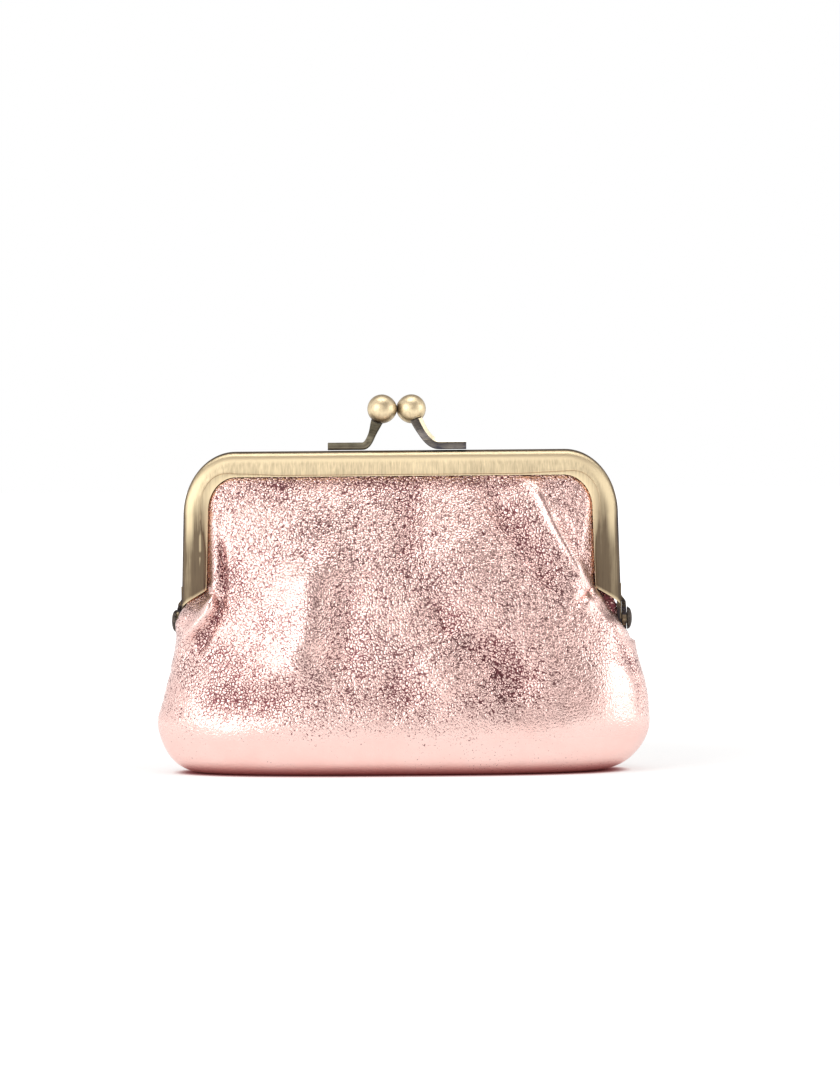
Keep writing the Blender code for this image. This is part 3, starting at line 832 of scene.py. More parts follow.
@dataclass(frozen=True)
class HingeFrame(HalfPiece):
    """One half of the pressed brass frame: a trimmed channel with a lip, and an ear at each leg."""

    bend: float = 0.0024
    back_bend: float = 0.0010
    dome_drop: float = 0.00040
    dome_power: float = 1.4
    hidden_flange: float = 0.0048
    lip_least: float = 0.00035
    lip_most: float = 0.00210
    lip_drop: float = 0.00022
    step_width: float = 0.00028
    scallop_rise: float = 0.0066
    scallop_power: float = 1.4
    ear_overlap: float = 0.0050
    rivet_radius: float = 0.0013
    edge_round: float = 0.00012
    ear_painted_shade: float = 2.4
    ear_bends: int = 8
    # Painted shade on the legs starts at bright_below under the top and is full at dark_below.
    dark_below: float = 0.0215
    bright_below: float = 0.0085
    leg_stations: int = 44
    corner_stations: int = 30
    top_stations: int = 26

    def foot_at(self, across: np.ndarray) -> np.ndarray:
        """Height above the hinge of the leg's cut foot, at each distance from the middle.

        Args:
            across: The distances.

        Returns:
            The heights.
        """
        sizes = self.sizes
        inner = float(sizes.window().half_at(sizes.leg_foot)) - sizes.fit_gap
        outer = sizes.half_width + sizes.sheet
        share = np.clip((outer - across) / (outer - inner), 0.0, 1.0)
        fall = (np.arccos(np.clip(2 * share - 1, -1, 1)) / math.pi) ** self.scallop_power
        return sizes.leg_foot - self.scallop_rise * fall

    def section(self, width: float, lip: float) -> tuple[np.ndarray, np.ndarray]:
        """The channel's section at one station.

        Args:
            width: From the outer edge to the edge of the window.
            lip: Width of the flat lip along the window.

        Returns:
            Outer and inner line as inward distance and distance from the parting plane.
        """
        sizes = self.sizes
        face, back = sizes.face_y, sizes.parting
        step = width - lip
        line = [(width, face - self.lip_drop), (step + self.step_width / 2, face - self.lip_drop)]
        for share in (0.25, 0.5, 0.75):
            rise = share * share * (3 - 2 * share)
            line.append((step + self.step_width * (0.5 - share), face - self.lip_drop * (1 - rise)))
        flat_start, flat_end = step - self.step_width / 2, self.bend
        slope = self.dome_drop / (flat_start - flat_end)
        for share in (i / 6 for i in range(7)):
            drop = self.dome_drop * share**self.dome_power
            line.append((flat_start + (flat_end - flat_start) * share, face - drop))
        shoulder = face - self.dome_drop
        first = Vector((self.bend, shoulder))
        last = Vector((0.0, shoulder - self.bend))
        grip = self.bend * 0.56
        leaving = Vector((-grip, -grip * slope * self.dome_power))
        controls = (first, first + leaving, last + Vector((0.0, grip)), last)
        line += [tuple(bezier(controls, i / 12)) for i in range(1, 13)]
        web_low = back + self.back_bend
        line += [(0.0, last.y + (web_low - last.y) * i / 3) for i in range(1, 4)]
        line += arc((self.back_bend, web_low), (self.back_bend,) * 2, math.pi, 1.5 * math.pi, 6)[1:]
        flange = self.hidden_flange - self.back_bend
        line += [(self.back_bend + flange * i / 3, back) for i in range(1, 4)]
        outer = np.array(line)
        ahead = np.gradient(outer, axis=0)
        ahead /= np.linalg.norm(ahead, axis=1, keepdims=True)
        inner = outer + np.stack([-ahead[:, 1], ahead[:, 0]], axis=1) * sizes.sheet
        return outer, inner

    def stations(self) -> list[tuple[Vector, Vector, float, float]]:
        """Outer point, window point, lip width and leg share of each station, right foot to top.

        Returns:
            The stations, with a leg share of 1 past the leg.
        """
        outer, window = self.sizes.outer(), self.sizes.window()
        found = []
        outer_foot = outer.rise - outer.corner_height
        window_foot = window.rise - window.corner_height
        spread = self.lip_most - self.lip_least
        for i in range(self.leg_stations):
            share = (i / self.leg_stations) ** 0.8
            lip = self.lip_least + spread * 0.8 * float(smooth(share, 0.35, 1.0)) ** 1.5
            start = Vector((float(outer.half_at(outer_foot * share)), outer_foot))
            end = Vector((float(window.half_at(outer_foot * share)), window_foot))
            found.append((start, end, lip, share))
        for i in range(self.corner_stations):
            share = i / self.corner_stations
            angle = math.pi / 2 * share
            swell = 0.8 + 0.2 * math.sin(math.pi * min(1.0, share * 1.2))
            lip = self.lip_least + spread * swell * float(smooth(share, 1.25, 0.55))
            found.append((outer.corner(angle), window.corner(angle), lip, 1.0))
        top_outer, top_window = outer.corner(math.pi / 2), window.corner(math.pi / 2)
        for i in range(self.top_stations + 1):
            share = i / self.top_stations
            lip = self.lip_least + spread * 0.25 * float(smooth(share, 0.30, 0.0))
            start = Vector((top_outer.x * (1 - share), top_outer.y))
            end = Vector((top_window.x * (1 - share), top_window.y))
            found.append((start, end, lip, 1.0))
        return found

    def rub_highlight_and_shade(self, inward: np.ndarray, share: float) -> tuple[np.ndarray, np.ndarray]:
        """The shares of rubbing and painted highlight, and the dark shares, round one section.

        Args:
            inward: Inward distance of each point, along the outside and back along the inside.
            share: How far up its leg the section is.

        Returns:
            The shares of rubbing and painted highlight, and the dark shares.
        """
        bend, inside = self.bend, len(inward) // 2
        # Painted highlight across the shoulder of the bend, weaker down the legs; the cut edges are rubbed
        # bright.
        rub_and_highlight = smooth(inward, bend * 0.22, bend * 0.5) * smooth(inward, bend * 1.3, bend * 0.8)
        rub_and_highlight *= 0.25 + 0.65 * smooth(share, 0.5, 1.0)
        rub_and_highlight[inside:] = 0.0
        rub_and_highlight[[0, -1]] = 1.0
        if share == 0.0:
            rub_and_highlight[:] = 1.0
        # Darker along the outside of the bend as painted shade, most along the top; the inner side is dark
        # with patina.
        dark = (0.35 + 0.5 * smooth(share, 0.6, 1.0)) * smooth(inward, bend * 0.30, bend * 0.06)
        dark[inside:] = 1.0
        return rub_and_highlight, dark

    def channel(self, name: str) -> Object:
        """The swept and trimmed channel, without its ears.

        Args:
            name: The object's name.

        Returns:
            The channel.
        """
        sizes = self.sizes
        outer = sizes.outer()
        corner_height = outer.rise - outer.corner_height
        clearance = sizes.ear_radius + 2 * sizes.fit_gap
        rings, rub_and_highlight, dark = [], [], []
        for start, end, lip, share in self.stations():
            inward = Vector((end.x - start.x, 0.0)) if share < 1.0 else end - start
            outside, inside = self.section(inward.length, lip)
            loop = np.concatenate([outside, inside[::-1]])
            inward.normalize()
            across = start.x + inward.x * loop[:, 0]
            height = start.y + inward.y * loop[:, 0]
            away = loop[:, 1]
            if share < 1.0:
                room = np.sqrt(np.clip(clearance**2 - away**2, 0.0, None))
                lowest = np.maximum(self.foot_at(across), room)
                height = lowest + (corner_height - lowest) * share
            rings.append(np.stack([across, -away, height + sizes.hinge_height], axis=1))
            for found, values in zip((rub_and_highlight, dark), self.rub_highlight_and_shade(loop[:, 0], share)):
                found.append(values)
        right = np.array(rings)
        left = right[:-1][::-1] * np.array([-1.0, 1.0, 1.0])
        obj = grid_object(name, np.concatenate([right, left]), cyclic_rows=True)
        count = right.shape[1]
        with editing(obj) as bm:
            for first in (0, len(bm.verts) - count):
                for i in range(count // 2 - 1):
                    corners = (first + i, first + i + 1, first + count - 2 - i, first + count - 1 - i)
                    bm.faces.new([bm.verts[k] for k in corners])
        for key, values in ((RUB_AND_HIGHLIGHT, rub_and_highlight), (PATINA_AND_SHADE, dark)):
            give_attribute(obj, key, np.concatenate([values, values[:-1][::-1]]).ravel())
        bevel = obj.modifiers.new("Rounded edges", "BEVEL")
        bevel.width = self.edge_round
        bevel.segments = 2
        bevel.limit_method = "ANGLE"
        bevel.angle_limit = math.radians(50)
        return settle(obj)

    def ear(self, name: str, side: int) -> Object:
        """One ear: a disc round the rivet on a strap that is lapped up inside the leg.

        Args:
            name: The object's name.
            side: 1 for the right leg, -1 for the left.

        Returns:
            The ear, set out past the other half's ear if it is the back one.
        """
        sizes = self.sizes
        outer_y = sizes.face_y - self.bend * 0.75
        inner_y = sizes.parting + sizes.fit_gap
        shoulder = sizes.ear_radius + sizes.fit_gap
        top = sizes.ear_radius + self.ear_overlap
        notch = math.acos(-inner_y / sizes.ear_radius)
        reach = math.hypot(outer_y, shoulder)
        tangent = math.atan2(shoulder, -outer_y) + math.acos(sizes.ear_radius / reach)
        radii = (sizes.ear_radius,) * 2
        outline = arc((0.0, 0.0), radii, notch, tangent - 2 * math.pi, 56)
        outline += [(-outer_y, shoulder), (-outer_y, top), (-inner_y, top)]
        hole_radius = self.rivet_radius + sizes.hinge_play
        hole = arc((0.0, 0.0), (hole_radius,) * 2, 0.0, 2 * math.pi, 40)[:-1]
        curve = bpy.data.curves.new(name, "CURVE")
        curve.dimensions = "2D"
        curve.fill_mode = "BOTH"
        curve.extrude = sizes.ear_sheet / 2 - self.edge_round
        curve.bevel_depth = self.edge_round
        curve.bevel_resolution = 1
        curve.offset = -self.edge_round
        for points in (outline, hole):
            spline = curve.splines.new("POLY")
            spline.points.add(len(points) - 1)
            for point, (y, z) in zip(spline.points, points):
                point.co = (y, z, 0.0, 1.0)
            spline.use_cyclic_u = True
        ear = settle(link(name, curve))
        set_out = sizes.ear_sheet + sizes.hinge_play if self.half is Half.BACK else 0.0
        bend_low, bend_high = shoulder, shoulder + sizes.ear_sheet + set_out
        middle = float(sizes.outer().half_at(sizes.ear_radius + self.ear_overlap / 2)) - sizes.sheet / 2
        with editing(ear) as bm:
            bmesh.ops.remove_doubles(bm, verts=bm.verts, dist=self.edge_round / 20)
            for i in range(self.ear_bends + 1):
                level = bend_low + (bend_high - bend_low) * i / self.ear_bends
                everything = bm.verts[:] + bm.edges[:] + bm.faces[:]
                bmesh.ops.bisect_plane(bm, geom=everything, plane_co=(0, level, 0), plane_no=(0, 1, 0))
            for vertex in bm.verts:
                y, z, x = vertex.co
                out = set_out * (1.0 - float(smooth(z, bend_low, bend_high)))
                vertex.co = (side * (middle + x + out), y, z + sizes.hinge_height)
        # Painted shade: the ears are drawn near black, as they lie in the shadow between the legs and the
        # leather.
        give_attribute(ear, PATINA_AND_SHADE, np.full(len(ear.data.vertices), self.ear_painted_shade))
        return ear

    def build(self) -> None:
        """Makes and dresses the whole half of the frame."""
        name = f"{self.half.value}_brass_frame"
        body = self.channel(name)
        for side in (1, -1):
            body = combine(body, self.ear(f"{name}_ear", side), "UNION")
        body.data.transform(self.half.turn)
        shade(body)
        finish = AntiqueBrass(
            "brushed_frame_brass",
            patina_share=0.28,
            line_contrast=0.8,
            leg_foot=self.sizes.frame_top - self.dark_below,
            leg_top=self.sizes.frame_top - self.bright_below,
        )
        dress(body, [finish.material()], [f"{self.half.value}_frame"])
        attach(body, self.half.body)


def bezier(controls: Sequence[Vector], share: float) -> Vector:
    """A point on a cubic curve.

    Args:
        controls: Its four control points.
        share: How far along the point lies.

    Returns:
        The point.
    """
    rest = 1 - share
    first, second, third, last = controls
    return first * rest**3 + second * 3 * rest**2 * share + third * 3 * rest * share**2 + last * share**3


def turned(name: str, profile: Sequence[Pair], steps: int) -> Object:
    """A solid turned about Z.

    Args:
        name: The object's name.
        profile: Radius and height from one pole to the other.
        steps: Number of pieces round.

    Returns:
        The closed solid.
    """
    angles = np.linspace(0, 2 * math.pi, steps, endpoint=False)
    rings = [
        np.stack([radius * np.cos(angles), radius * np.sin(angles), np.full(steps, height)], axis=1)
        for radius, height in profile
    ]
    obj = grid_object(name, np.array(rings), cyclic_rows=True)
    shortest = min(math.dist(a, b) for a, b in zip(profile, profile[1:]) if math.dist(a, b) > 0)
    with editing(obj) as bm:
        bmesh.ops.remove_doubles(bm, verts=bm.verts, dist=shortest / 50)
    return obj


@dataclass(frozen=True)
class HingeRivet:
    """A rivet through both ears: domed head with a rim outside, upset tail inside."""

    sizes: PurseSizes
    side: int
    head_radius: float = 0.0027
    head_height: float = 0.0012
    shank_radius: float = 0.0013
    tail_radius: float = 0.0021
    tail_height: float = 0.0006
    dome_steps: int = 14
    round_steps: int = 56

    def build(self) -> None:
        """Makes and dresses the rivet."""
        side = "right" if self.side > 0 else "left"
        node = f"{side}_hinge_rivet"
        low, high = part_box(node)
        head = max(abs(low.x), abs(high.x)) - self.head_height
        upset = self.tail_height
        tail = min(abs(low.x), abs(high.x)) + upset
        rim = self.head_height * 0.30
        dome, dome_radius = self.head_height - rim, self.head_radius * 0.94
        angles = [math.pi / 2 * i / self.dome_steps for i in range(self.dome_steps + 1)]
        profile = [(dome_radius * math.sin(angle), head + rim + dome * math.cos(angle)) for angle in angles]
        profile += [
            (self.head_radius, head + rim * 0.85),
            (self.head_radius, head + rim * 0.2),
            (self.head_radius * 0.95, head),
            (self.shank_radius, head),
            (self.shank_radius, tail),
            (self.tail_radius * 0.95, tail),
            (self.tail_radius, tail - upset * 0.3),
            (self.tail_radius * 0.86, tail - upset * 0.8),
            (self.shank_radius * 0.8, tail - upset),
            (0.0, tail - upset),
        ]
        obj = turned(f"{side}_rivet", profile, self.round_steps)
        to_x = Matrix.Rotation(self.side * math.pi / 2, 4, "Y")
        obj.data.transform(Matrix.Translation((0.0, 0.0, self.sizes.hinge_height)) @ to_x)
        shade(obj, math.radians(50))
        finish = AntiqueBrass("dark_rivet_brass", patina=DARK_PLATE_AND_SHADE, patina_share=0.95, brush=Brush.ALL_ROUND)
        dress(obj, [finish.material()], [node])
        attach(obj, "pouch")


@dataclass(frozen=True)
class ArmShape:
    """How one arm of the clasp is bent, in distances from the middle of the clasp, and how dark it is drawn:
    its dark share and patina colour are painted shade.
    """

    foot_start: float
    bend: float
    lean: Pair
    thickness: float
    chamfer: float
    dark: float
    patina: Triple


# Painted shade: the front arm is drawn near black with a blue cast, the back arm dark brown.
FRONT_ARM = ArmShape(0.0102, 0.0076, (0.0057, 0.0050), 0.0025, 0.00075, 0.95, (0.050, 0.048, 0.062))
BACK_ARM = ArmShape(0.0084, 0.0066, (0.0062, 0.0036), 0.0018, 0.00025, 0.90, (0.090, 0.080, 0.055))


@dataclass(frozen=True)
class KissLock(HalfPiece):
    """One bent arm of the clasp and its ball, for either half."""

    offset: float = -0.0010
    shift: float = 0.00025
    foot_end: float = 0.0166
    arm_width: float = 0.0032
    tip_thickness: float = 0.0029
    solder_gap: float = 0.00015
    tip_share: float = 0.05
    fullness: float = 1.02
    edge_round: float = 0.00025
    foot_setback: float = 0.0006
    ball_steps: int = 48
    round_steps: int = 72
    nib: float = 0.00004

    @property
    def shape(self) -> ArmShape:
        """The bend of this half's arm."""
        return FRONT_ARM if self.half is Half.FRONT else BACK_ARM

    def ball(self, name: str, centre: Vector, radius: float) -> Object:
        """The ball, drawn out a little towards the other ball, with painted shade round its rim as seen from
        the front, towards its stem and where it meets the other ball.

        Args:
            name: The object's name.
            centre: Its centre, for the front half.
            radius: Its radius.

        Returns:
            The ball.
        """
        profile = []
        for angle in (math.pi * i / self.ball_steps for i in range(self.ball_steps + 1)):
            along = math.cos(angle)
            drawn = along + self.tip_share * max(0.0, along) ** 5
            profile.append((radius * math.sin(angle), radius * drawn))
        obj = turned(name, profile, self.round_steps)
        obj.data.transform(Matrix.Rotation(-math.pi / 2, 4, "Y"))
        places = points_of(obj) / radius
        # Painted shade: darker round the rim seen from the front, towards the stem and where the two balls
        # meet.
        stem = np.clip(places @ np.array([0.35, 0.15, -0.92]), 0.0, 1.0)
        mate = np.clip(-places[:, 0], 0.0, 1.0)
        rim = smooth(np.abs(places[:, 1]), 0.62, 0.0)
        shaded = 0.55 * rim + 0.5 * smooth(stem, 0.55, 0.95) + 0.4 * smooth(mate, 0.75, 1.0)
        give_attribute(obj, PATINA_AND_SHADE, shaded)
        obj.data.transform(Matrix.Translation(centre))
        return obj

    def centre_line(self, centre: Vector) -> np.ndarray:
        """Middle of the strip from foot to ball, as distance from the clasp's middle and height.

        Args:
            centre: The ball's centre.

        Returns:
            One row for each point.
        """
        shape = self.shape
        foot = self.sizes.frame_top + self.solder_gap + shape.thickness / 2
        start = Vector((shape.foot_start, foot))
        line = [Vector((self.foot_end, foot)).lerp(start, i / 8) for i in range(8)]
        ball = Vector((centre.x - self.offset, centre.z))
        lean = Vector((shape.lean[0], self.sizes.frame_top + shape.lean[1]))
        stem = (start, Vector((shape.bend, foot)), lean, ball)
        line += [bezier(stem, i / 36) for i in range(37)]
        return np.array([tuple(point) for point in line])

    def outline(self) -> tuple[list[Pair], list[float]]:
        """Section of the strip as shares of its thickness and distances across it.

        Returns:
            The points, and how much painted highlight each has: only the chamfer towards the viewer has it.
        """
        half_t, half_w = 0.5, self.arm_width / 2
        thick, round_edge, cut = self.shape.thickness, self.edge_round, self.shape.chamfer
        points: list[Pair] = []
        for t_sign, w_sign, start in ((1, 1, 0.0), (-1, 1, math.pi / 2)):
            middle = (t_sign * (half_t - round_edge / thick), w_sign * (half_w - round_edge))
            points += arc(middle, (round_edge / thick, round_edge), start, start + math.pi / 2, 3)
        nib = self.nib
        first, last = (-half_t, -half_w + cut), (-half_t + cut / thick, -half_w)
        points += [(first[0], first[1] + nib), first, last, (last[0] + nib / thick, last[1])]
        # Painted highlight on the chamfer that faces the viewer.
        rub_and_highlight = [0.0] * 9 + [1.0, 1.0, 0.0] if cut > round_edge else [0.0] * 12
        middle = (half_t - round_edge / thick, -half_w + round_edge)
        points += arc(middle, (round_edge / thick, round_edge), 1.5 * math.pi, 2 * math.pi, 3)
        return points, rub_and_highlight + [0.0] * 4

    def arm(self, name: str, centre: Vector, radius: float) -> Object:
        """The bent strip: flat foot on the frame, then a stem that widens up to the ball.

        Args:
            name: The object's name.
            centre: The ball's centre.
            radius: The ball's radius.

        Returns:
            The arm.
        """
        sizes, shape = self.sizes, self.shape
        depth = sizes.face_y - sizes.parting
        foot_y = -(sizes.parting + depth / 2 - self.foot_setback)
        places = self.centre_line(centre)
        ahead = np.gradient(places, axis=0)
        ahead /= np.linalg.norm(ahead, axis=1, keepdims=True)
        side = np.stack([-ahead[:, 1], ahead[:, 0]], axis=1)
        foot_height = places[0, 1]
        share = np.clip((places[:, 1] - foot_height) / (centre.z - foot_height), 0.0, 1.0)
        thick = shape.thickness + (self.tip_thickness - shape.thickness) * smooth(share, 0.25, 0.75)
        back = (centre.y - foot_y) * smooth(share, 0.1, 1.0)
        outline, rub_and_highlight = self.outline()
        rings = []
        for (x, z), normal, size, away in zip(places, side, thick, back):
            thrown = [(normal[0] * t * size, foot_y + w + away, normal[1] * t * size) for t, w in outline]
            rings.append([(self.offset + x + right, y, z + up) for right, y, up in thrown])
        obj = grid_object(name, np.array(rings), cyclic_rows=True)
        count = len(outline)
        with editing(obj) as bm:
            bm.faces.new([bm.verts[i] for i in range(count)])
            bm.faces.new([bm.verts[len(bm.verts) - 1 - i] for i in range(count)])
        give_attribute(obj, RUB_AND_HIGHLIGHT, np.tile(rub_and_highlight, len(places)))
        seat = self.ball(name + "_seat", centre, radius + self.solder_gap)
        return combine(obj, seat, "DIFFERENCE")

    def build(self) -> None:
        """Makes and dresses the arm and its ball."""
        low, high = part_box("front_clasp_ball")
        centre, radius = (low + high) / 2, (high.x - low.x) / 2 * self.fullness
        half = self.half.value
        front = self.half is Half.FRONT
        pieces = [
            (self.arm(f"{half}_lock_arm", centre, radius), f"{half}_clasp_arm"),
            (self.ball(f"{half}_lock_ball", centre, radius), f"{half}_clasp_ball"),
        ]
        # The two arms are the same brass in lit and shaded copies: painted shade by each arm's dark share and
        # colour.
        arm_finish = AntiqueBrass(
            "dark_arm_brass" if front else "brown_arm_brass",
            bright=(0.86, 0.74, 0.52),
            patina=self.shape.patina,
            patina_share=self.shape.dark,
            brush=Brush.ACROSS,
            line_contrast=0.25,
            roughness=0.24,
        )
        ball_finish = AntiqueBrass(
            "ball_brass",
            patina_share=0.17,
            brush=Brush.ALL_ROUND,
            line_contrast=0.8,
            roughness=0.36,
            stretch=0.3,
        )
        for (obj, node), finish in zip(pieces, (arm_finish, ball_finish)):
            if not front:
                obj.data.transform(Matrix.Translation((2 * self.offset, 0.0, 0.0)) @ self.half.turn)
            obj.data.transform(Matrix.Translation((self.shift, 0.0, 0.0)))
            shade(obj)
            dress(obj, [finish.material()], [node])
            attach(obj, self.half.body)


@dataclass(frozen=True)
class Fold:
    """One ridge or valley of the leather, drawn on the front view in millimetres.

    Left and right are its widths on either side of the path. Its painted light and shade runs from -1, a
    painted highlight on a bright ridge, to 1, painted shade in a dark hollow, and fade is the share of the
    path over which each end dies out.
    """

    path: Table
    height: float
    left: float
    right: float
    tone: float = 0.0
    fade: float = 0.25

    def profile(self, across: np.ndarray, height: np.ndarray) -> np.ndarray:
        """How strongly the fold works at each place, 0 to 1.

        Args:
            across: X of each point.
            height: Z of each point.

        Returns:
            The strength, fading out towards both ends of the path.
        """
        places = np.array(self.path) * MM
        lengths = np.linalg.norm(np.diff(places, axis=0), axis=1)
        total = lengths.sum()
        best = np.full(across.shape, np.inf)
        side = np.zeros(across.shape)
        along = np.zeros(across.shape)
        done = 0.0
        for start, end, length in zip(places, places[1:], lengths):
            ahead = (end - start) / length
            dx, dz = across - start[0], height - start[1]
            reach = dx * ahead[0] + dz * ahead[1]
            held = np.clip(reach, 0.0, length)
            away = np.hypot(dx - held * ahead[0], dz - held * ahead[1])
            nearer = away < best
            best = np.where(nearer, away, best)
            side = np.where(nearer, dx * ahead[1] - dz * ahead[0], side)
            along = np.where(nearer, (done + held) / total, along)
            done += length
        width = np.where(side < 0, self.left, self.right) * MM
        ends = smooth(along, 0.0, self.fade) * smooth(1 - along, 0.0, self.fade)
        return np.exp(-((best / width) ** 2)) * (0.25 + 0.75 * ends)


FRONT_FOLDS = (
    Fold(
        (
            (-44.6, 60), (-43.9, 52), (-43.6, 46), (-44.2, 41), (-46.2, 38), (-49.4, 35), (-52.5, 30),
            (-54, 26),
        ),
        2.4, 1.5, 1.4, -1, 0.5,
    ),
    Fold(((-44, 44.5), (-43.7, 41), (-45.2, 37.5)), 1, 1.7, 1.2, -0.9, 0.3),
    Fold(((-43, 58), (-42, 52), (-41.6, 46), (-41.9, 42)), -1.6, 0.7, 1.7, 1.5, 0.35),
    Fold(((-41.9, 43), (-43.4, 37), (-46, 32.5), (-48.5, 29)), -1, 0.9, 1.9, 1.1, 0.2),
    Fold(((-22, 56), (-19.8, 48), (-19.4, 40), (-21, 32), (-25.5, 24), (-31.5, 17)), 2.9, 7.5, 8, -0.6),
    Fold(((-42, 54), (-40.5, 44), (-41, 36)), -0.3, 4.5, 5.5, 0.4, 0.3),
    Fold(((-12, 49), (-13.5, 40), (-14.5, 29), (-18, 22)), -1.9, 5, 6.5, 0.65),
    Fold(((-47, 22.5), (-39, 17.5), (-31, 18), (-22, 24)), -1.2, 5, 5, 0.8),
    Fold(((-47, 31), (-41, 28), (-35, 26), (-28, 25)), -0.25, 4.5, 4, 0.55, 0.3),
    Fold(
        ((29, 71), (33, 65.5), (37, 57.5), (40.8, 51), (44.2, 45), (47.2, 41), (50.1, 37.1), (53.2, 31.2)),
        0.9, 1.8, 0.8, -0.9, 0.12,
    ),
    Fold(((37.5, 63), (39.7, 58), (42.6, 52), (44.4, 48.5)), -0.9, 1.2, 1.8, 0.3),
    Fold(((42.8, 45), (43.8, 41.2), (45.4, 38.4)), 1.2, 1.7, 1.8, -0.8, 0.3),
    Fold(((20, 70), (24, 62), (29, 55), (34, 48), (38, 42)), -1.3, 4, 2.8, 0.7),
    Fold(((16.5, 34), (23.5, 26.5), (32, 18)), -1.8, 5.5, 5.5, 0.75),
    Fold(((6, 30), (14, 19)), 0.8, 5, 6, -0.1),
    Fold(((8, 42), (12.5, 33)), -1, 3.6, 4, 0.6),
    Fold(((2, 68), (3, 58), (0, 50)), -0.6, 3.8, 3.8, 0.6),
    Fold(((-4, 24), (4, 16)), -0.6, 6, 6, 0.4),
    Fold(((38, 8), (46, 16), (50.5, 27)), 0.3, 8, 9, -0.75, 0.1),
    Fold(((51.5, 32.5), (54.5, 26), (56.5, 20), (56.8, 13)), -0.5, 1.1, 1.1, 0.5),
    Fold(((-40, 68.5), (0, 69.2), (38, 69.5)), -0.3, 2.2, 2.2, 0.35, 0.1),
    Fold(((12, 58), (20, 44)), 0.7, 5, 6, -0.2),
)

BACK_FOLDS = (
    Fold(((-45.6, 58), (-44, 50), (-45, 42), (-48.8, 34)), 1.6, 2, 1.7, -0.7),
    Fold(((-42.2, 55), (-41, 47), (-42.4, 38), (-46.6, 29.5)), -0.7, 1.8, 2.4, 0.7),
    Fold(((31, 70), (36.5, 60), (42, 50), (47.5, 41), (51.6, 33)), 1.5, 2.4, 1.8, -0.7),
    Fold(((25, 68), (30, 58), (37, 46)), -1, 3.8, 3, 0.6),
    Fold(((-18, 52), (-22, 40), (-20, 28)), -1.3, 6.5, 6.5, 0.5),
    Fold(((2, 50), (-4, 36), (-6, 24)), 1.3, 6, 6.5, -0.4),
    Fold(((14, 44), (20, 30)), -1, 6, 6, 0.5),
    Fold(((34, 30), (42, 18)), 0.8, 6, 6, -0.5),
    Fold(((-40, 24), (-30, 17)), -0.6, 6, 6, 0.5),
)


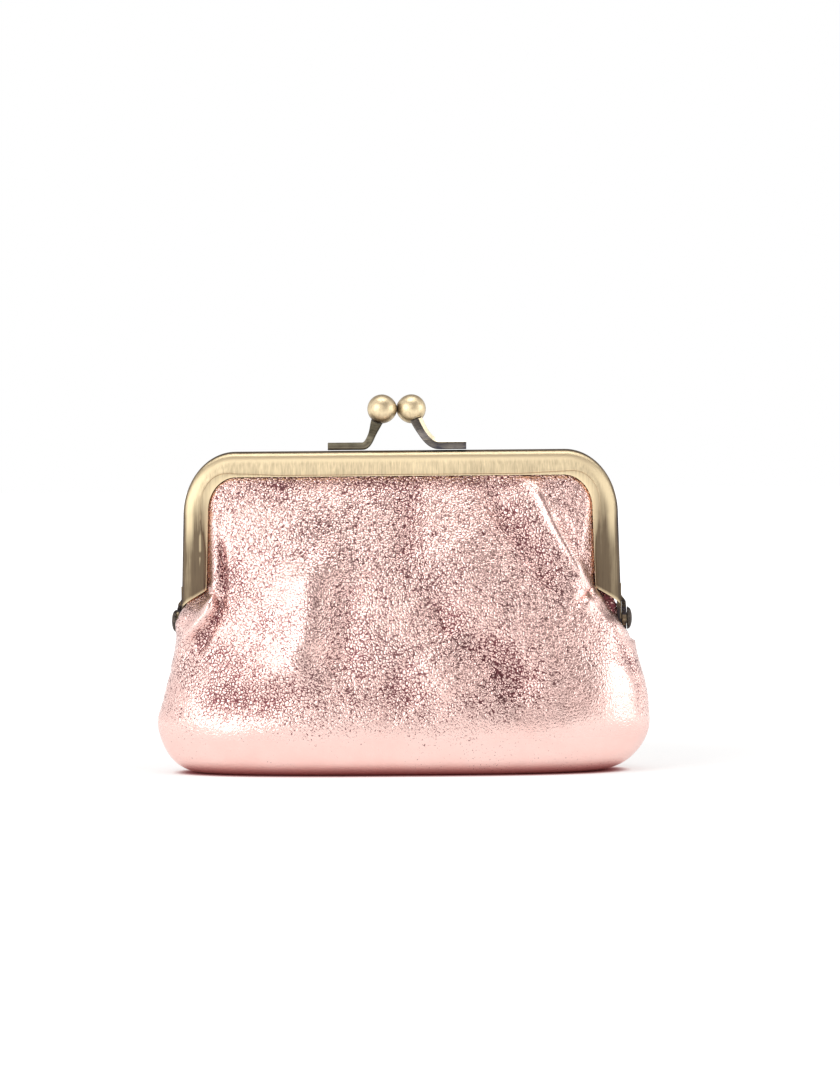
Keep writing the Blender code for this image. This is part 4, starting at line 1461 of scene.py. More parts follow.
@dataclass(frozen=True)
class PouchShape:
    """The pouch's outer surface before its folds, as rows from the bottom seam up into the frame.

    The two sides and the roll are tables of height and half width on the front view in millimetres.
    The lid keeps the leather behind the frame's face, the roll pinches it beside one leg, and the
    pairs are the spans over which such a change comes in.
    """

    sizes: PurseSizes
    folds: tuple[Fold, ...]
    belly_height: float = 0.0130
    depth: float = 0.0205
    base_depth: float = 0.0120
    left_base: float = 0.0468
    right_base: float = 0.0445
    left_side: Table = (
        (13, 58.8), (17, 57.5), (22, 56.2), (26.5, 54.9), (29, 54.3), (32, 54.1), (36, 54.3), (39.5, 53.4),
        (44.4, 50.6),
    )
    right_side: Table = (
        (13, 59.2), (17, 58.9), (22, 58), (26.5, 56.8), (29, 56.2), (31.2, 55.8), (33.8, 55), (36.5, 53),
        (40, 51), (44.4, 50.6),
    )
    seam_end: float = 0.0300
    neck_half: float = 0.0511
    neck_depth: float = 0.0024
    seam_gap: float = 0.00006
    frame_gap: float = 0.0011
    margin: float = 0.0019
    ear_room: float = 0.0042
    gill: float = 0.0010
    front_power: float = 1.7
    plan_power: float = 3.0
    seam_fullness: float = 0.46
    frame_fullness: float = 0.62
    lift: float = 1.6
    roll: Table = (
        (33, 55), (34.3, 53.8), (36, 51.7), (38.3, 49.7), (41.4, 48), (43.1, 46.5), (46, 45.9),
    )
    roll_side: int = 1
    roll_slope: float = 3.0
    roll_round: float = 0.0008
    roll_start: Pair = (0.029, 0.033)
    roll_end: Pair = (0.046, 0.048)
    # Painted shadow in the cavity behind the roll beside the leg, added to the folds' painted shade.
    shadow: float = 3.0
    shadow_edge: Pair = (-0.0001, 0.0005)
    shadow_start: Pair = (0.031, 0.034)
    shadow_end: Pair = (0.044, 0.047)
    base_gap: float = 0.0015
    legs_blend: float = 0.002
    lid_round: float = 0.0012
    lid_start: Pair = (-0.010, -0.002)
    ear_end: Pair = (0.0045, 0.0080)
    fold_edge: Pair = (-0.0002, 0.0010)
    fold_foot: Pair = (0.001, 0.010)

    @classmethod
    def of(cls, sizes: PurseSizes, half: Half) -> "PouchShape":
        """The shape of one half, with the back one's sides changed over so that it meets the front one.

        Args:
            sizes: The purse's sizes.
            half: Which half.

        Returns:
            The half's shape.
        """
        front = cls(sizes, FRONT_FOLDS)
        if half is Half.FRONT:
            return front
        return replace(
            front,
            folds=BACK_FOLDS,
            left_base=front.right_base,
            right_base=front.left_base,
            left_side=front.right_side,
            right_side=front.left_side,
            roll_side=-1,
        )

    def side_depth(self, height: np.ndarray) -> np.ndarray:
        """Depth of the middle of the pouch at each height, from the belly to the frame.

        Args:
            height: The heights.

        Returns:
            The depths.
        """
        edge = self.sizes.face_y - self.frame_gap
        top = self.sizes.hinge_height + self.sizes.window_rise
        share = np.clip((height - self.belly_height) / (top - self.belly_height), 0.0, 1.0)
        return edge + (self.depth - edge) * (1 - share**self.front_power)

    def metal_distance(self, across: np.ndarray, height: np.ndarray) -> np.ndarray:
        """How far inside the frame's opening each place is seen from the front, negative behind metal.

        Args:
            across: X of each point.
            height: Z of each point.

        Returns:
            The distance to the frame's cut edge.
        """
        sizes = self.sizes
        above = height - sizes.hinge_height
        side = sizes.window().half_at(above) - np.abs(across)
        foot = HingeFrame(sizes, Half.FRONT).foot_at(np.abs(across)) - above
        top = sizes.window_rise - above
        return np.minimum(np.maximum(side, foot), top)

    def rows(self, base_rows: int, round_rows: int, side_rows: int, tuck_rows: int) -> tuple[np.ndarray, ...]:
        """Height, half widths, middle depth and edge depth of each row.

        Args:
            base_rows: Rows under the base.
            round_rows: Rows round the bottom edge.
            side_rows: Rows up the side.
            tuck_rows: Rows inside the frame's channel.

        Returns:
            Heights, left half widths, right half widths, middle depths and edge depths.
        """
        sizes = self.sizes
        top = sizes.hinge_height + sizes.window_rise
        tuck = sizes.frame_top - self.margin
        share = np.linspace(0.0, 1.0, base_rows, endpoint=False)
        angle = np.linspace(math.pi / 2, 0.0, round_rows, endpoint=False)
        climb = np.linspace(0.0, 1.0, side_rows)
        side_height = self.belly_height + (top - self.belly_height) * climb
        tuck_height = np.linspace(top, tuck, tuck_rows + 1)[1:]
        reach, drop = np.cos(angle), np.sin(angle)
        upper = np.concatenate([side_height, tuck_height])
        arch_half = sizes.outer().inset(self.margin).half_at(upper - sizes.hinge_height)
        legs_start = sizes.hinge_height + sizes.leg_foot
        inside = smooth(upper, legs_start - self.legs_blend, legs_start + self.legs_blend)
        widths = []
        for base, table in ((self.left_base, self.left_side), (self.right_base, self.right_side)):
            side = through([(z * MM, x * MM) for z, x in table], upper) * (1 - inside) + arch_half * inside
            rounded = base + (side[0] - base) * reach**0.85
            widths.append([base - self.base_gap * (1 - share), rounded, side])
        heights = [np.zeros(base_rows), self.belly_height * (1 - drop), upper]
        belly = self.base_depth + (self.depth - self.base_depth) * reach
        depths = [self.base_depth * share, belly, self.side_depth(upper)]
        edge = self.sizes.face_y - self.frame_gap
        neck = smooth(upper, self.seam_end, sizes.hinge_height)
        into = smooth(upper, sizes.hinge_height, legs_start)
        opened = self.seam_gap + (self.neck_depth - self.seam_gap) * neck + (edge - self.neck_depth) * into
        edges = [np.full(base_rows + round_rows, self.seam_gap), opened]
        return tuple(np.concatenate(part) for part in (heights, *widths, depths, edges))

    def surface(
        self, columns: int, counts: tuple[int, int, int, int], inset: float = 0.0
    ) -> tuple[np.ndarray, np.ndarray]:
        """The surface as a grid.

        Args:
            columns: Columns from the middle to each side.
            counts: Rows of the base, bottom edge, side and tuck.
            inset: How far inside the leather's own outside the surface lies.

        Returns:
            Grid of points, and grid of distances to the frame's metal.
        """
        heights, lefts, rights, depths, edges = self.rows(*counts)
        share = np.sin(math.pi / 2 * np.linspace(-1, 1, 2 * columns + 1))
        half = np.where(share[None, :] < 0, lefts[:, None], rights[:, None]) - inset
        across = half * share[None, :]
        height = np.repeat(heights[:, None], len(share), axis=1)
        up = smooth(heights, self.sizes.hinge_height, self.sizes.frame_top - self.sizes.face_width)
        roundness = (self.seam_fullness + (self.frame_fullness - self.seam_fullness) * up)[:, None]
        swell = np.clip(1 - np.abs(share[None, :]) ** self.plan_power, 0.0, 1.0) ** roundness
        edge = edges[:, None]
        deep = np.maximum(depths[:, None] - inset, edge * 0.9)
        away = edge + (deep - edge) * swell
        near = self.metal_distance(across, height)
        lid = self.sizes.face_y - self.frame_gap + self.lift * np.maximum(near, 0.0)
        hinge = self.sizes.hinge_height
        reach = smooth(height, hinge + self.lid_start[0], hinge + self.lid_start[1])
        held = soft_least(away, lid, self.lid_round)
        away = np.where(reach > 0, away * (1 - reach) + held * reach, away)
        cap = edge + self.roll_slope * np.maximum(-self.past_roll(across, height), 0.0)
        weight = smooth(height, *self.roll_start) * (1 - smooth(height, *self.roll_end))
        weight *= self.roll_side * across > 0
        rolled = np.maximum(soft_least(away, cap, self.roll_round), edge * 0.9)
        away = away * (1 - weight) + rolled * weight
        ring = np.hypot(away, np.minimum(height - hinge, 0.0))
        pull = 1 - smooth(ring, self.ear_room, self.ear_room + self.gill)
        pull *= 1 - smooth(height, hinge + self.ear_end[0], hinge + self.ear_end[1])
        limit = self.neck_half - inset
        pulled = across * (1 - pull) + np.sign(across) * limit * pull
        across = np.where(np.abs(across) > limit, pulled, across)
        return np.stack([across, -away, np.maximum(height, inset)], axis=-1), near

    def past_roll(self, across: np.ndarray, height: np.ndarray) -> np.ndarray:
        """How far outward of the line of the roll beside the leg each place is."""
        return self.roll_side * across - through([(z * MM, x * MM) for z, x in self.roll], height)

    def folded(self, places: np.ndarray, near: np.ndarray) -> tuple[np.ndarray, np.ndarray]:
        """How far the folds move each point out, and their painted light and shade.

        Args:
            places: Grid of points.
            near: Grid of distances to the frame's metal.

        Returns:
            Outward distances, and painted light and shade from -1, a painted highlight on a ridge, to 1,
            painted shade in a hollow, with painted shadow added behind the roll.
        """
        across, height = places[..., 0], places[..., 2]
        lift = np.zeros(across.shape)
        tone = np.zeros(across.shape)
        for fold in self.folds:
            profile = fold.profile(across, height)
            lift += profile * fold.height * MM
            tone += profile * fold.tone
        guard = smooth(near, *self.fold_edge)
        from_base = smooth(height, *self.fold_foot)
        # Painted shadow behind the roll, between the shadow heights.
        behind = smooth(self.past_roll(across, height), *self.shadow_edge)
        behind *= smooth(height, *self.shadow_start) * (1 - smooth(height, *self.shadow_end))
        return lift * guard * from_base, np.clip(tone * from_base, -1.0, 1.0) + self.shadow * behind


def grid_normals(places: np.ndarray) -> np.ndarray:
    """The outward normal at each point of a grid that runs up and to the right, facing -Y.

    Args:
        places: Grid of points.

    Returns:
        Grid of unit vectors.
    """
    along = np.gradient(places, axis=0)
    across = np.gradient(places, axis=1)
    normal = np.cross(across, along)
    return normal / np.maximum(np.linalg.norm(normal, axis=2, keepdims=True), 1e-12)


def lumps(places: np.ndarray, scale: float, seed: Sequence[float] = (0.0, 0.0, 0.0)) -> np.ndarray:
    """Smooth noise at each point of a grid.

    Args:
        places: Grid of points.
        scale: How many lumps there are to a metre.
        seed: Where in the noise the grid starts.

    Returns:
        Grid of values from -1 to 1.
    """
    start = Vector(seed)
    values = [noise.noise(Vector(place) * scale + start) for place in places.reshape(-1, 3)]
    return np.array(values).reshape(places.shape[:2])


def neighbours(values: np.ndarray) -> np.ndarray:
    """Each value of a grid and the four beside it, as five grids.

    Args:
        values: The grid.

    Returns:
        The five grids, stacked.
    """
    wide = np.pad(values, 1, mode="edge")
    return np.stack([wide[1:-1, 1:-1], wide[:-2, 1:-1], wide[2:, 1:-1], wide[1:-1, :-2], wide[1:-1, 2:]])


@dataclass(frozen=True)
class SoftPanel(HalfPiece):
    """What the leather and the lining of a half have in common."""

    blend_reach: float = 0.01
    blend_low: float = 22.0
    blend_high: float = 122.0

    @property
    def shape(self) -> PouchShape:
        """The pouch's outer surface at this half."""
        return PouchShape.of(self.sizes, self.half)

    def sewn(self, sheet: Object, thickness: float, lined: bool) -> Object:
        """Thickens a sheet and turns it to its half.

        Args:
            sheet: The panel's outer side, as if it were a front piece.
            thickness: How thick the panel is.
            lined: Whether its inner side and edges have a material of their own.

        Returns:
            The finished shape, turned to its half.
        """
        solid = sheet.modifiers.new("Thickness", "SOLIDIFY")
        solid.thickness = thickness
        solid.offset = -1
        solid.material_offset = solid.material_offset_rim = int(lined)
        obj = settle(sheet)
        rest = points_of(obj)
        obj.data.transform(self.half.turn)
        shade(obj, math.radians(75))
        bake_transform(obj)
        return obj

    def nodes(self, kind: str) -> list[str]:
        """The two CAD nodes of this half that a piece stands for."""
        return [f"{self.half.value}_{kind}_{part}" for part in ("upper", "lower")]


@dataclass(frozen=True)
class LeatherPanel(SoftPanel):
    """The outer leather of one half, from the bottom seam up into the frame's channel."""

    thickness: float = 0.0007
    columns: int = 104
    counts: tuple[int, int, int, int] = (12, 22, 104, 5)
    seam_width: float = 0.0045
    seam_top: Pair = (0.026, 0.032)
    seam_roll: float = 0.0006
    roll_width: float = 0.0008
    pucker_pitch: float = 0.0023
    pucker_height: float = 0.00009
    pucker_start: Pair = (0.0015, 0.0035)
    crumple: float = 0.00016
    flattened: float = 0.75
    flattened_from: Pair = (0.028, 0.036)
    edge_calm: Pair = (0.0, 0.002)
    base_calm: Pair = (0.0, 0.006)

    def build(self) -> None:
        """Makes and dresses the panel."""
        shape = self.shape
        places, near = shape.surface(self.columns, self.counts)
        lift, tone = shape.folded(places, near)
        lift = lift + self.wrinkles(places, near)
        normals = grid_normals(places)
        normals[..., 0] *= 1 - self.flattened * smooth(places[..., 2], *self.flattened_from)
        normals /= np.maximum(np.linalg.norm(normals, axis=2, keepdims=True), 1e-12)
        places = places + normals * lift[..., None]
        places[..., 2] = np.maximum(places[..., 2], 0.0)
        sheet = grid_object(f"{self.half.value}_leather", places)
        give_attribute(sheet, REST_PLACE, places.reshape(-1, 3))
        give_attribute(sheet, FOLD_PAINTED_LIGHT_AND_SHADE, tone.ravel())
        obj = self.sewn(sheet, self.thickness, lined=True)
        flesh = Fibre("leather_flesh_side", light=(0.62, 0.45, 0.38), dark=(0.42, 0.27, 0.22))
        materials = [CrackledFoil().material(), flesh.material()]
        dress(obj, materials, self.nodes("panel"))

    def wrinkles(self, places: np.ndarray, near: np.ndarray) -> np.ndarray:
        """Small creases all over and puckers along the seams.

        Args:
            places: Grid of points.
            near: Grid of distances to the frame's metal.

        Returns:
            How far each point stands out.
        """
        seed = (3.1, 7.7, 1.3) if self.half is Half.FRONT else (9.4, 2.2, 5.9)
        creases = (lumps(places, 150.0, seed) + lumps(places, 420.0, seed) * 0.2) * self.crumple
        edge = np.abs(places[..., 1])
        below = 1 - smooth(places[..., 2], *self.seam_top)
        seam = np.exp(-((edge / self.seam_width) ** 2)) * below
        run = np.linalg.norm(np.diff(places, axis=0, prepend=places[:1]), axis=2).cumsum(0)
        wave = 2 * math.pi * run / self.pucker_pitch + 5 * lumps(places, 90.0, seed)
        puckers = np.sin(wave) * self.pucker_height * seam * smooth(edge, *self.pucker_start)
        roll = -self.seam_roll * np.exp(-((edge / self.roll_width) ** 2)) * below
        guard = smooth(near, *self.edge_calm) * smooth(places[..., 2], *self.base_calm)
        return (creases + puckers + roll) * guard


@dataclass(frozen=True)
class LiningPanel(SoftPanel):
    """The cloth lining of one half, inside the leather."""

    inset: float = 0.0019
    thickness: float = 0.0003
    channel_inset: float = 0.0014
    columns: int = 60
    counts: tuple[int, int, int, int] = (8, 12, 60, 4)
    spreads: int = 6
    wrinkle: float = 0.00035
    wrinkle_start: Pair = (0.0, 0.004)
    tuck_start: Pair = (0.0, 0.0025)
    tuck_height: Pair = (-0.004, 0.006)
    neck_room: float = 0.0009
    neck_above: float = 0.0052
    neck_height: float = 0.0028
    neck_start: Pair = (0.0390, 0.0420)

    def build(self) -> None:
        """Makes and dresses the lining."""
        shape, hinge = self.shape, self.sizes.hinge_height
        places, near = shape.surface(self.columns, self.counts, self.inset)
        lift, _ = shape.folded(places, near)
        inward = np.minimum(lift, 0.0)
        for _ in range(self.spreads):
            inward = neighbours(inward).min(axis=0)
        for _ in range(self.spreads):
            inward = neighbours(inward).sum(axis=0) / 5
        inward = inward - self.wrinkle * (1 + lumps(places, 130.0)) * smooth(near, *self.wrinkle_start)
        neck = np.exp(-(((places[..., 2] - hinge - self.neck_above) / self.neck_height) ** 2))
        inward = inward - self.neck_room * neck * smooth(np.abs(places[..., 0]), *self.neck_start)
        places = places + grid_normals(places) * inward[..., None]
        tucked = 1 - smooth(near, *self.tuck_start)
        tucked *= smooth(places[..., 2], hinge + self.tuck_height[0], hinge + self.tuck_height[1])
        depth = np.abs(places[..., 1])
        limit = self.sizes.face_y - shape.frame_gap - self.channel_inset
        places[..., 1] = -(depth * (1 - tucked) + np.minimum(depth, limit) * tucked)
        obj = self.sewn(grid_object(f"{self.half.value}_lining", places), self.thickness, lined=False)
        dress(obj, [WovenCloth().material()], self.nodes("lining"))


def path_object(name: str, places: Sequence[Sequence[float]]) -> Object:
    """A mesh of points joined by edges, for a node tree to follow.

    Args:
        name: The object's name.
        places: The points in order.

    Returns:
        The path.
    """
    mesh = bpy.data.meshes.new(name)
    mesh.from_pydata([tuple(p) for p in places], [(i, i + 1) for i in range(len(places) - 1)], [])
    return link(name, mesh)


class FollowTree:
    """A Geometry Nodes tree that makes something along a path, with named inputs."""

    def __init__(self, name: str, inputs: dict[str, tuple[str, Any]]) -> None:
        """Starts the tree.

        Args:
            name: The tree's name.
            inputs: Socket type and first value of each named input.
        """
        self.tree = bpy.data.node_groups.new(name, "GeometryNodeTree")
        self.sheet = NodeSheet(self.tree)
        self.tree.interface.new_socket("Geometry", in_out="INPUT", socket_type="NodeSocketGeometry")
        self.identifiers: dict[str, str] = {}
        for key, (kind, value) in inputs.items():
            socket = self.tree.interface.new_socket(key, in_out="INPUT", socket_type=kind)
            if value is not None:
                socket.default_value = value
            self.identifiers[key] = socket.identifier
        self.tree.interface.new_socket("Geometry", in_out="OUTPUT", socket_type="NodeSocketGeometry")
        self.given = self.sheet.add("NodeGroupInput").outputs
        self.result = self.sheet.add("NodeGroupOutput")

    def finish(self, geometry: NodeSocket) -> None:
        """Ends the tree in Realize Instances and Set Material.

        Args:
            geometry: What the tree has made.
        """
        real = self.sheet.add("GeometryNodeRealizeInstances", {0: geometry}).outputs[0]
        soft = self.sheet.add("GeometryNodeSetShadeSmooth", {0: real, "Shade Smooth": True}).outputs[0]
        dressed = self.sheet.add("GeometryNodeSetMaterial", {0: soft, "Material": self.given["Material"]})
        self.sheet.join(self.result, {0: dressed.outputs[0]})

    def apply(self, obj: Object, values: dict[str, Any]) -> Object:
        """Runs the tree on an object.

        Args:
            obj: The object whose mesh is the path.
            values: The value of each named input.

        Returns:
            The result as a plain mesh object.
        """
        modifier = obj.modifiers.new(self.tree.name, "NODES")
        modifier.node_group = self.tree
        for key, value in values.items():
            modifier[self.identifiers[key]] = value
        return settle(obj)


def twist_tree() -> FollowTree:
    """A cord of three strands twisted together along a path.

    Returns:
        The tree.
    """
    follow = FollowTree(
        "twisted_cord",
        {
            "Radius": ("NodeSocketFloat", 0.0004),
            "Pitch": ("NodeSocketFloat", 0.003),
            "Step": ("NodeSocketFloat", 0.00035),
            "Material": ("NodeSocketMaterial", None),
        },
    )
    sheet, given = follow.sheet, follow.given
    curve = sheet.add("GeometryNodeMeshToCurve", {0: given["Geometry"]}).outputs[0]
    fine = sheet.add("GeometryNodeResampleCurve", {"Curve": curve, "Length": given["Step"]}, mode="LENGTH")
    length = sheet.add("GeometryNodeSplineParameter").outputs["Length"]
    turns = sheet.maths("DIVIDE", length, given["Pitch"])
    tilt = sheet.maths("MULTIPLY", turns, 2 * math.pi)
    twisted = sheet.add("GeometryNodeSetCurveTilt", {"Curve": fine.outputs[0], "Tilt": tilt}).outputs[0]
    ring = sheet.add("GeometryNodeCurvePrimitiveCircle", {"Resolution": 18, "Radius": given["Radius"]})
    place = sheet.add("GeometryNodeInputPosition").outputs[0]
    parts = sheet.add("ShaderNodeSeparateXYZ", {0: place})
    angle = sheet.maths("ARCTAN2", parts.outputs["Y"], parts.outputs["X"])
    lobes = sheet.maths("ABSOLUTE", sheet.maths("COSINE", sheet.maths("MULTIPLY", angle, 1.5)))
    size = sheet.maths("MULTIPLY_ADD", lobes, 0.35, 0.65)
    shaped = sheet.vector("SCALE", place, size)
    profile = sheet.add("GeometryNodeSetPosition", {"Geometry": ring.outputs[0], "Position": shaped})
    inputs = {"Curve": twisted, "Profile Curve": profile.outputs[0], "Fill Caps": True}
    follow.finish(sheet.add("GeometryNodeCurveToMesh", inputs).outputs[0])
    return follow


def stitch_tree() -> FollowTree:
    """Stitches set along a path, each a short loop of thread that lies in the leather.

    Returns:
        The tree.
    """
    follow = FollowTree(
        "seam_stitches",
        {
            "Pitch": ("NodeSocketFloat", 0.0026),
            "Stitch Length": ("NodeSocketFloat", 0.0019),
            "Thread Radius": ("NodeSocketFloat", 0.00018),
            "Lean": ("NodeSocketFloat", 0.12),
            "Seed": ("NodeSocketInt", 4),
            "Material": ("NodeSocketMaterial", None),
        },
    )
    sheet, given = follow.sheet, follow.given
    curve = sheet.add("GeometryNodeMeshToCurve", {0: given["Geometry"]}).outputs[0]
    points = sheet.add("GeometryNodeCurveToPoints", {"Curve": curve, "Length": given["Pitch"]}, mode="LENGTH")
    ball = sheet.add("GeometryNodeMeshUVSphere", {"Segments": 8, "Rings": 6, "Radius": 1.0}).outputs["Mesh"]
    half_length = sheet.maths("MULTIPLY", given["Stitch Length"], 0.5)
    radius = given["Thread Radius"]
    scale = sheet.add("ShaderNodeCombineXYZ", {"X": radius, "Y": radius, "Z": half_length}).outputs[0]
    least = sheet.maths("MULTIPLY", given["Lean"], -1.0)
    inputs = {"Min": least, "Max": given["Lean"], "Seed": given["Seed"]}
    lean = sheet.add("FunctionNodeRandomValue", inputs, data_type="FLOAT_VECTOR").outputs[0]
    ahead = sheet.vector("ADD", points.outputs["Tangent"], lean)
    turn = sheet.add("FunctionNodeAlignRotationToVector", {"Vector": ahead}, axis="Z").outputs[0]
    inputs = {"Points": points.outputs["Points"], "Instance": ball, "Rotation": turn, "Scale": scale}
    follow.finish(sheet.add("GeometryNodeInstanceOnPoints", inputs).outputs[0])
    return follow


@dataclass(frozen=True)
class PackingCord(HalfPiece):
    """The twisted paper cord that wedges leather and lining in a half's channel."""

    pitch: float = 0.0026
    tightness: float = 0.96

    def build(self) -> None:
        """Makes and dresses the cord."""
        low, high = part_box("front_packing_cord")
        radius = (high.y - low.y) / 2
        middle = (low.y + high.y) / 2
        hinge = self.sizes.hinge_height
        centre_line = self.sizes.outer().inset(self.sizes.half_width - (high.x - radius))
        foot = low.z - hinge
        right = [(float(centre_line.half_at(foot)), foot)]
        right += [tuple(centre_line.corner(math.pi / 2 * i / 16)) for i in range(17)]
        points = right + [(-x, z) for x, z in reversed(right)]
        path = path_object(f"{self.half.value}_paper_cord", [(x, middle, z + hinge) for x, z in points])
        paper = Fibre("twisted_paper", light=(0.74, 0.63, 0.46), dark=(0.52, 0.40, 0.26)).material()
        values = {"Radius": radius * self.tightness, "Pitch": self.pitch, "Material": paper}
        obj = twist_tree().apply(path, values)
        obj.data.transform(self.half.turn)
        dress(obj, [paper], [f"{self.half.value}_packing_cord"])
        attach(obj, self.half.body)


@dataclass(frozen=True)
class SeamStitches:
    """The thread that closes the side and bottom seams, deep between the two panels."""

    sizes: PurseSizes
    depth: float = 0.0011
    pitch: float = 0.0026
    stitch_length: float = 0.0020
    thread_radius: float = 0.00022
    seed: int = 4

    def build(self) -> None:
        """Makes and dresses the stitches."""
        shape = PouchShape.of(self.sizes, Half.FRONT)
        heights, lefts, rights, _, _ = shape.rows(10, 18, 60, 2)
        kept = heights < shape.seam_end
        raised = heights + self.depth * np.clip(1 - heights / shape.belly_height, 0.0, 1.0)
        left, right = (
            [(side * (half - self.depth), 0.0, height) for half, height in zip(halves[kept], raised[kept])]
            for side, halves in ((-1, lefts), (1, rights))
        )
        path = path_object("seam_thread", left[::-1] + right)
        thread = Fibre("rose_thread", light=(0.72, 0.42, 0.38), dark=(0.48, 0.24, 0.22)).material()
        values = {
            "Pitch": self.pitch,
            "Stitch Length": self.stitch_length,
            "Thread Radius": self.thread_radius,
            "Seed": self.seed,
            "Material": thread,
        }
        obj = stitch_tree().apply(path, values)
        dress(obj, [thread], [])
        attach(obj, "pouch")


@dataclass(frozen=True)
class Studio:
    """Plain floor, white surroundings, soft lamps, dark cards for the metal, and the camera."""

    aim: Triple = (0.0047, -0.005, 0.0554)
    distance: float = 0.90
    view_height: float = 0.2571
    azimuth: float = 1.5
    elevation: float = 1.4
    roll: float = -0.5
    sensor: float = 36.0
    floor_radius: float = 6.0
    tent_radius: float = 0.75
    tent_colour: Triple = (0.085, 0.040, 0.040)

    @staticmethod
    def seen(sheet: NodeSheet) -> NodeSocket:
        """1 for what the camera, reflections and clear things see, and 0 for what lights the purse.

        Args:
            sheet: The sheet of the floor or the world.

        Returns:
            The socket.
        """
        path = sheet.add("ShaderNodeLightPath").outputs
        seen = sheet.maths("MAXIMUM", path["Is Camera Ray"], path["Is Glossy Ray"])
        return sheet.maths("MAXIMUM", seen, path["Is Transmission Ray"])

    def floor(self) -> None:
        """A pale floor that fades into the white surroundings, with a painted contact shadow in its glow and
        a painted maroon bounce colour near the purse.
        """
        radius = self.floor_radius
        angles = np.linspace(0, 2 * math.pi, 96, endpoint=False)
        rim = [(radius * math.sin(angle), radius * math.cos(angle), 0.0) for angle in angles]
        mesh = bpy.data.meshes.new("studio_floor")
        mesh.from_pydata(rim, [], [range(len(rim))])
        floor = link("studio_floor", mesh)
        sheet = MaterialSheet("pale_floor")
        place = sheet.add("ShaderNodeTexCoord").outputs["Object"]
        distance = sheet.add("ShaderNodeVectorMath", {0: place}, operation="LENGTH").outputs["Value"]
        far = sheet.between(distance, 0.07, 0.30, 0.52, 1.0)
        # Painted contact shadow: the glow follows ambient occlusion and keeps more red, and the floor's
        # colour turns maroon there as painted bounce light.
        shadow = sheet.add("ShaderNodeAmbientOcclusion", {"Distance": 0.0028}, samples=16).outputs["AO"]
        bounced = [sheet.maths("POWER", shadow, power) for power in (0.7, 1.2, 1.2)]
        tinted = sheet.add("ShaderNodeCombineXYZ", dict(zip("XYZ", bounced))).outputs[0]
        painted_bounce_colour = sheet.tint(sheet.between(shadow, 0.15, 0.75), (0.16, 0.05, 0.05), (0.55, 0.545, 0.54))
        diffuse = sheet.add("ShaderNodeBsdfDiffuse", {"Color": painted_bounce_colour})
        strength = sheet.maths("MULTIPLY", self.seen(sheet), far)
        glow = sheet.add("ShaderNodeEmission", {"Color": tinted, "Strength": strength})
        both = sheet.add("ShaderNodeAddShader", {0: diffuse.outputs[0], 1: glow.outputs[0]})
        floor.data.materials.append(sheet.end(both))

    def surroundings(self) -> None:
        """A white world for the camera and for reflections, at a plain level for the light itself."""
        world = bpy.data.worlds.new("white_room")
        bpy.context.scene.world = world
        world.use_nodes = True
        sheet = NodeSheet(world.node_tree)
        strength = sheet.maths("MULTIPLY_ADD", self.seen(sheet), 0.45, 0.55)
        inputs = {"Color": paint((1.0, 1.0, 1.0)), "Strength": strength}
        background = sheet.add("ShaderNodeBackground", inputs)
        sheet.add("ShaderNodeOutputWorld", {"Surface": background.outputs[0]})

    def dark_cards(self) -> None:
        """A dark tent that only reflections see: black in front near the floor, and clear overhead."""
        radius, steps = self.tent_radius, 64
        angles = np.linspace(0, 2 * math.pi, steps, endpoint=False)
        rings = []
        for climb in np.radians(np.linspace(0.5, 75.0, 16)):
            reach, height = radius * math.cos(climb), radius * math.sin(climb)
            ring = [reach * np.cos(angles), reach * np.sin(angles), np.full(steps, height)]
            rings.append(np.stack(ring, axis=1))
        card = grid_object("dark_cards", np.array(rings), cyclic_rows=True)
        sheet = MaterialSheet("dark_card")
        place = sheet.add("ShaderNodeTexCoord").outputs["Object"]
        parts = sheet.add("ShaderNodeSeparateXYZ", {0: place}).outputs
        front = sheet.maths("MULTIPLY", sheet.maths("SIGN", parts["Y"]), -1.0)
        across = sheet.maths("MULTIPLY", parts["X"], front)
        turn = sheet.maths("DEGREES", sheet.maths("ARCTAN2", across, sheet.maths("ABSOLUTE", parts["Y"])))
        aside = sheet.maths("ABSOLUTE", turn)
        climb = sheet.maths("DEGREES", sheet.maths("ARCSINE", sheet.maths("DIVIDE", parts["Z"], radius)))
        ahead = sheet.between(front, -0.5, 0.5)
        low = sheet.product(
            sheet.between(aside, 32.0, 46.0, 1.0, 0.0), sheet.between(climb, 6.0, 12.0, 1.0, 0.0), ahead
        )
        right = sheet.product(
            sheet.between(turn, 14.0, 26.0),
            sheet.between(turn, 36.0, 52.0, 0.9, 0.0),
            sheet.between(climb, 5.0, 10.0),
            ahead,
            sheet.between(climb, 50.0, 65.0, 1.0, 0.0),
        )
        high = sheet.product(
            sheet.between(climb, 28.0, 38.0),
            sheet.between(climb, 62.0, 74.0, 0.7, 0.0),
            sheet.between(aside, 60.0, 80.0, 1.0, 0.0),
        )
        shut = sheet.maths("MAXIMUM", sheet.maths("MAXIMUM", low, right), high)
        clear = sheet.maths("SUBTRACT", 1.0, shut)
        dark = sheet.add("ShaderNodeEmission", {"Color": paint(self.tent_colour), "Strength": 1.0})
        see_through = sheet.add("ShaderNodeBsdfTransparent")
        mixed = sheet.add("ShaderNodeMixShader", {0: clear, 1: dark.outputs[0], 2: see_through.outputs[0]})
        card.data.materials.append(sheet.end(mixed))
        card.visible_camera = False
        card.visible_diffuse = False
        card.visible_shadow = False

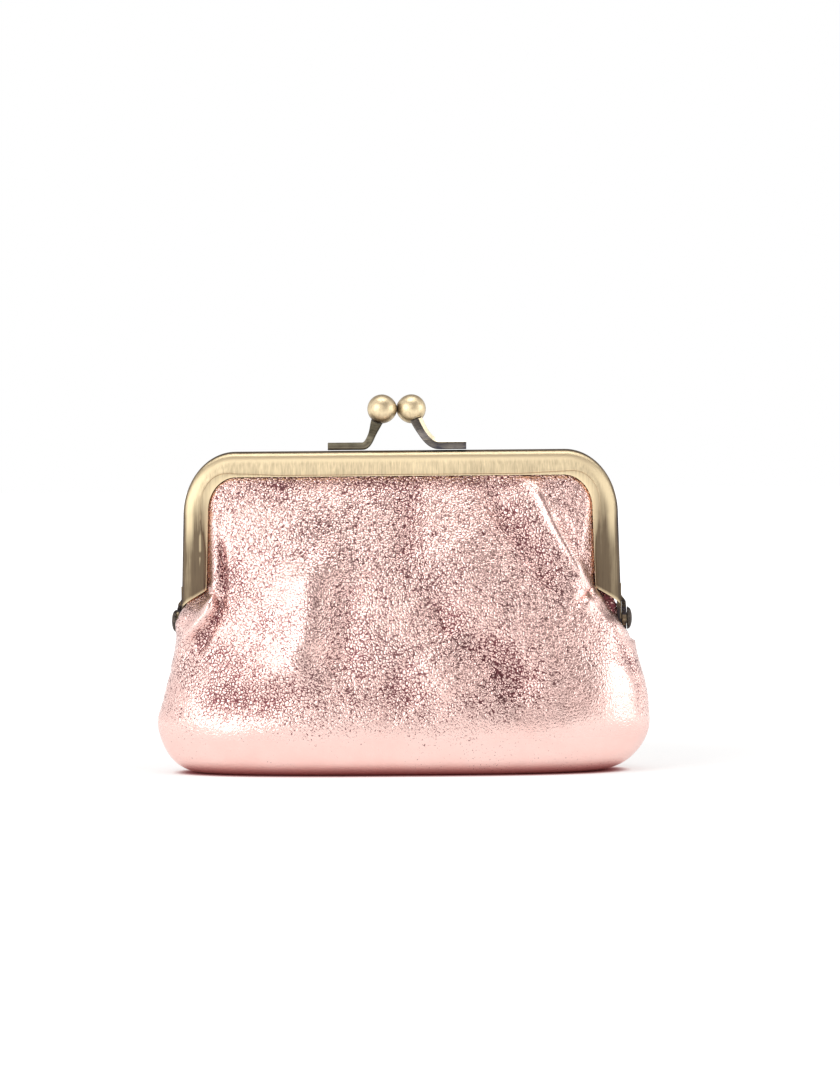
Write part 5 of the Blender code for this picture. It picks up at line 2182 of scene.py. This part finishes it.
    def lamp(self, name: str, place: Triple, size: Pair, power: float) -> None:
        """One soft lamp that looks at the purse.

        Args:
            name: The lamp's name.
            place: Where it stands.
            size: Its width and height.
            power: Its power in watts.
        """
        light = bpy.data.lights.new(name, "AREA")
        light.shape = "RECTANGLE"
        light.size, light.size_y = size
        light.energy = power
        obj = link(name, light)
        obj.location = place
        obj.rotation_euler = (Vector(self.aim) - Vector(place)).to_track_quat("-Z", "Y").to_euler()

    def camera(self) -> None:
        """The camera at the photograph's angle and distance."""
        data = bpy.data.cameras.new("photo_camera")
        data.sensor_width = self.sensor
        data.lens = self.sensor * self.distance / self.view_height
        data.clip_start = 0.01
        obj = link("photo_camera", data)
        azimuth, elevation = math.radians(self.azimuth), math.radians(self.elevation)
        level = math.cos(elevation)
        back = Vector((math.sin(azimuth) * level, -math.cos(azimuth) * level, math.sin(elevation)))
        obj.location = Vector(self.aim) + back * self.distance
        facing = (-back).to_track_quat("-Z", "Y").to_matrix().to_4x4()
        turned_view = facing @ Matrix.Rotation(math.radians(self.roll), 4, "Z")
        obj.rotation_euler = turned_view.to_euler()
        bpy.context.scene.camera = obj

    def build(self) -> None:
        """Sets up the whole studio."""
        self.floor()
        self.surroundings()
        self.dark_cards()
        self.lamp("left_softbox", (-0.42, -0.50, 0.29), (0.46, 0.60), 2.2)
        self.lamp("right_softbox", (0.60, -0.12, 0.20), (0.24, 0.34), 0.6)
        self.lamp("top_softbox", (0.0, -0.12, 0.70), (0.50, 0.30), 1.4)
        self.camera()


def main() -> None:
    """Builds the studio and every sub-assembly in order."""
    logging.basicConfig(level=logging.INFO, format="%(name)s %(message)s")
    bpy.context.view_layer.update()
    bpy.context.scene.view_settings.view_transform = "Standard"
    sizes = PurseSizes.from_frame()
    Studio().build()
    for half in Half:
        HingeFrame(sizes, half).build()
        KissLock(sizes, half).build()
        LeatherPanel(sizes, half).build()
        LiningPanel(sizes, half).build()
        PackingCord(sizes, half).build()
    for side in (1, -1):
        HingeRivet(sizes, side).build()
    SeamStitches(sizes).build()


if __name__ == "__main__":
    main()
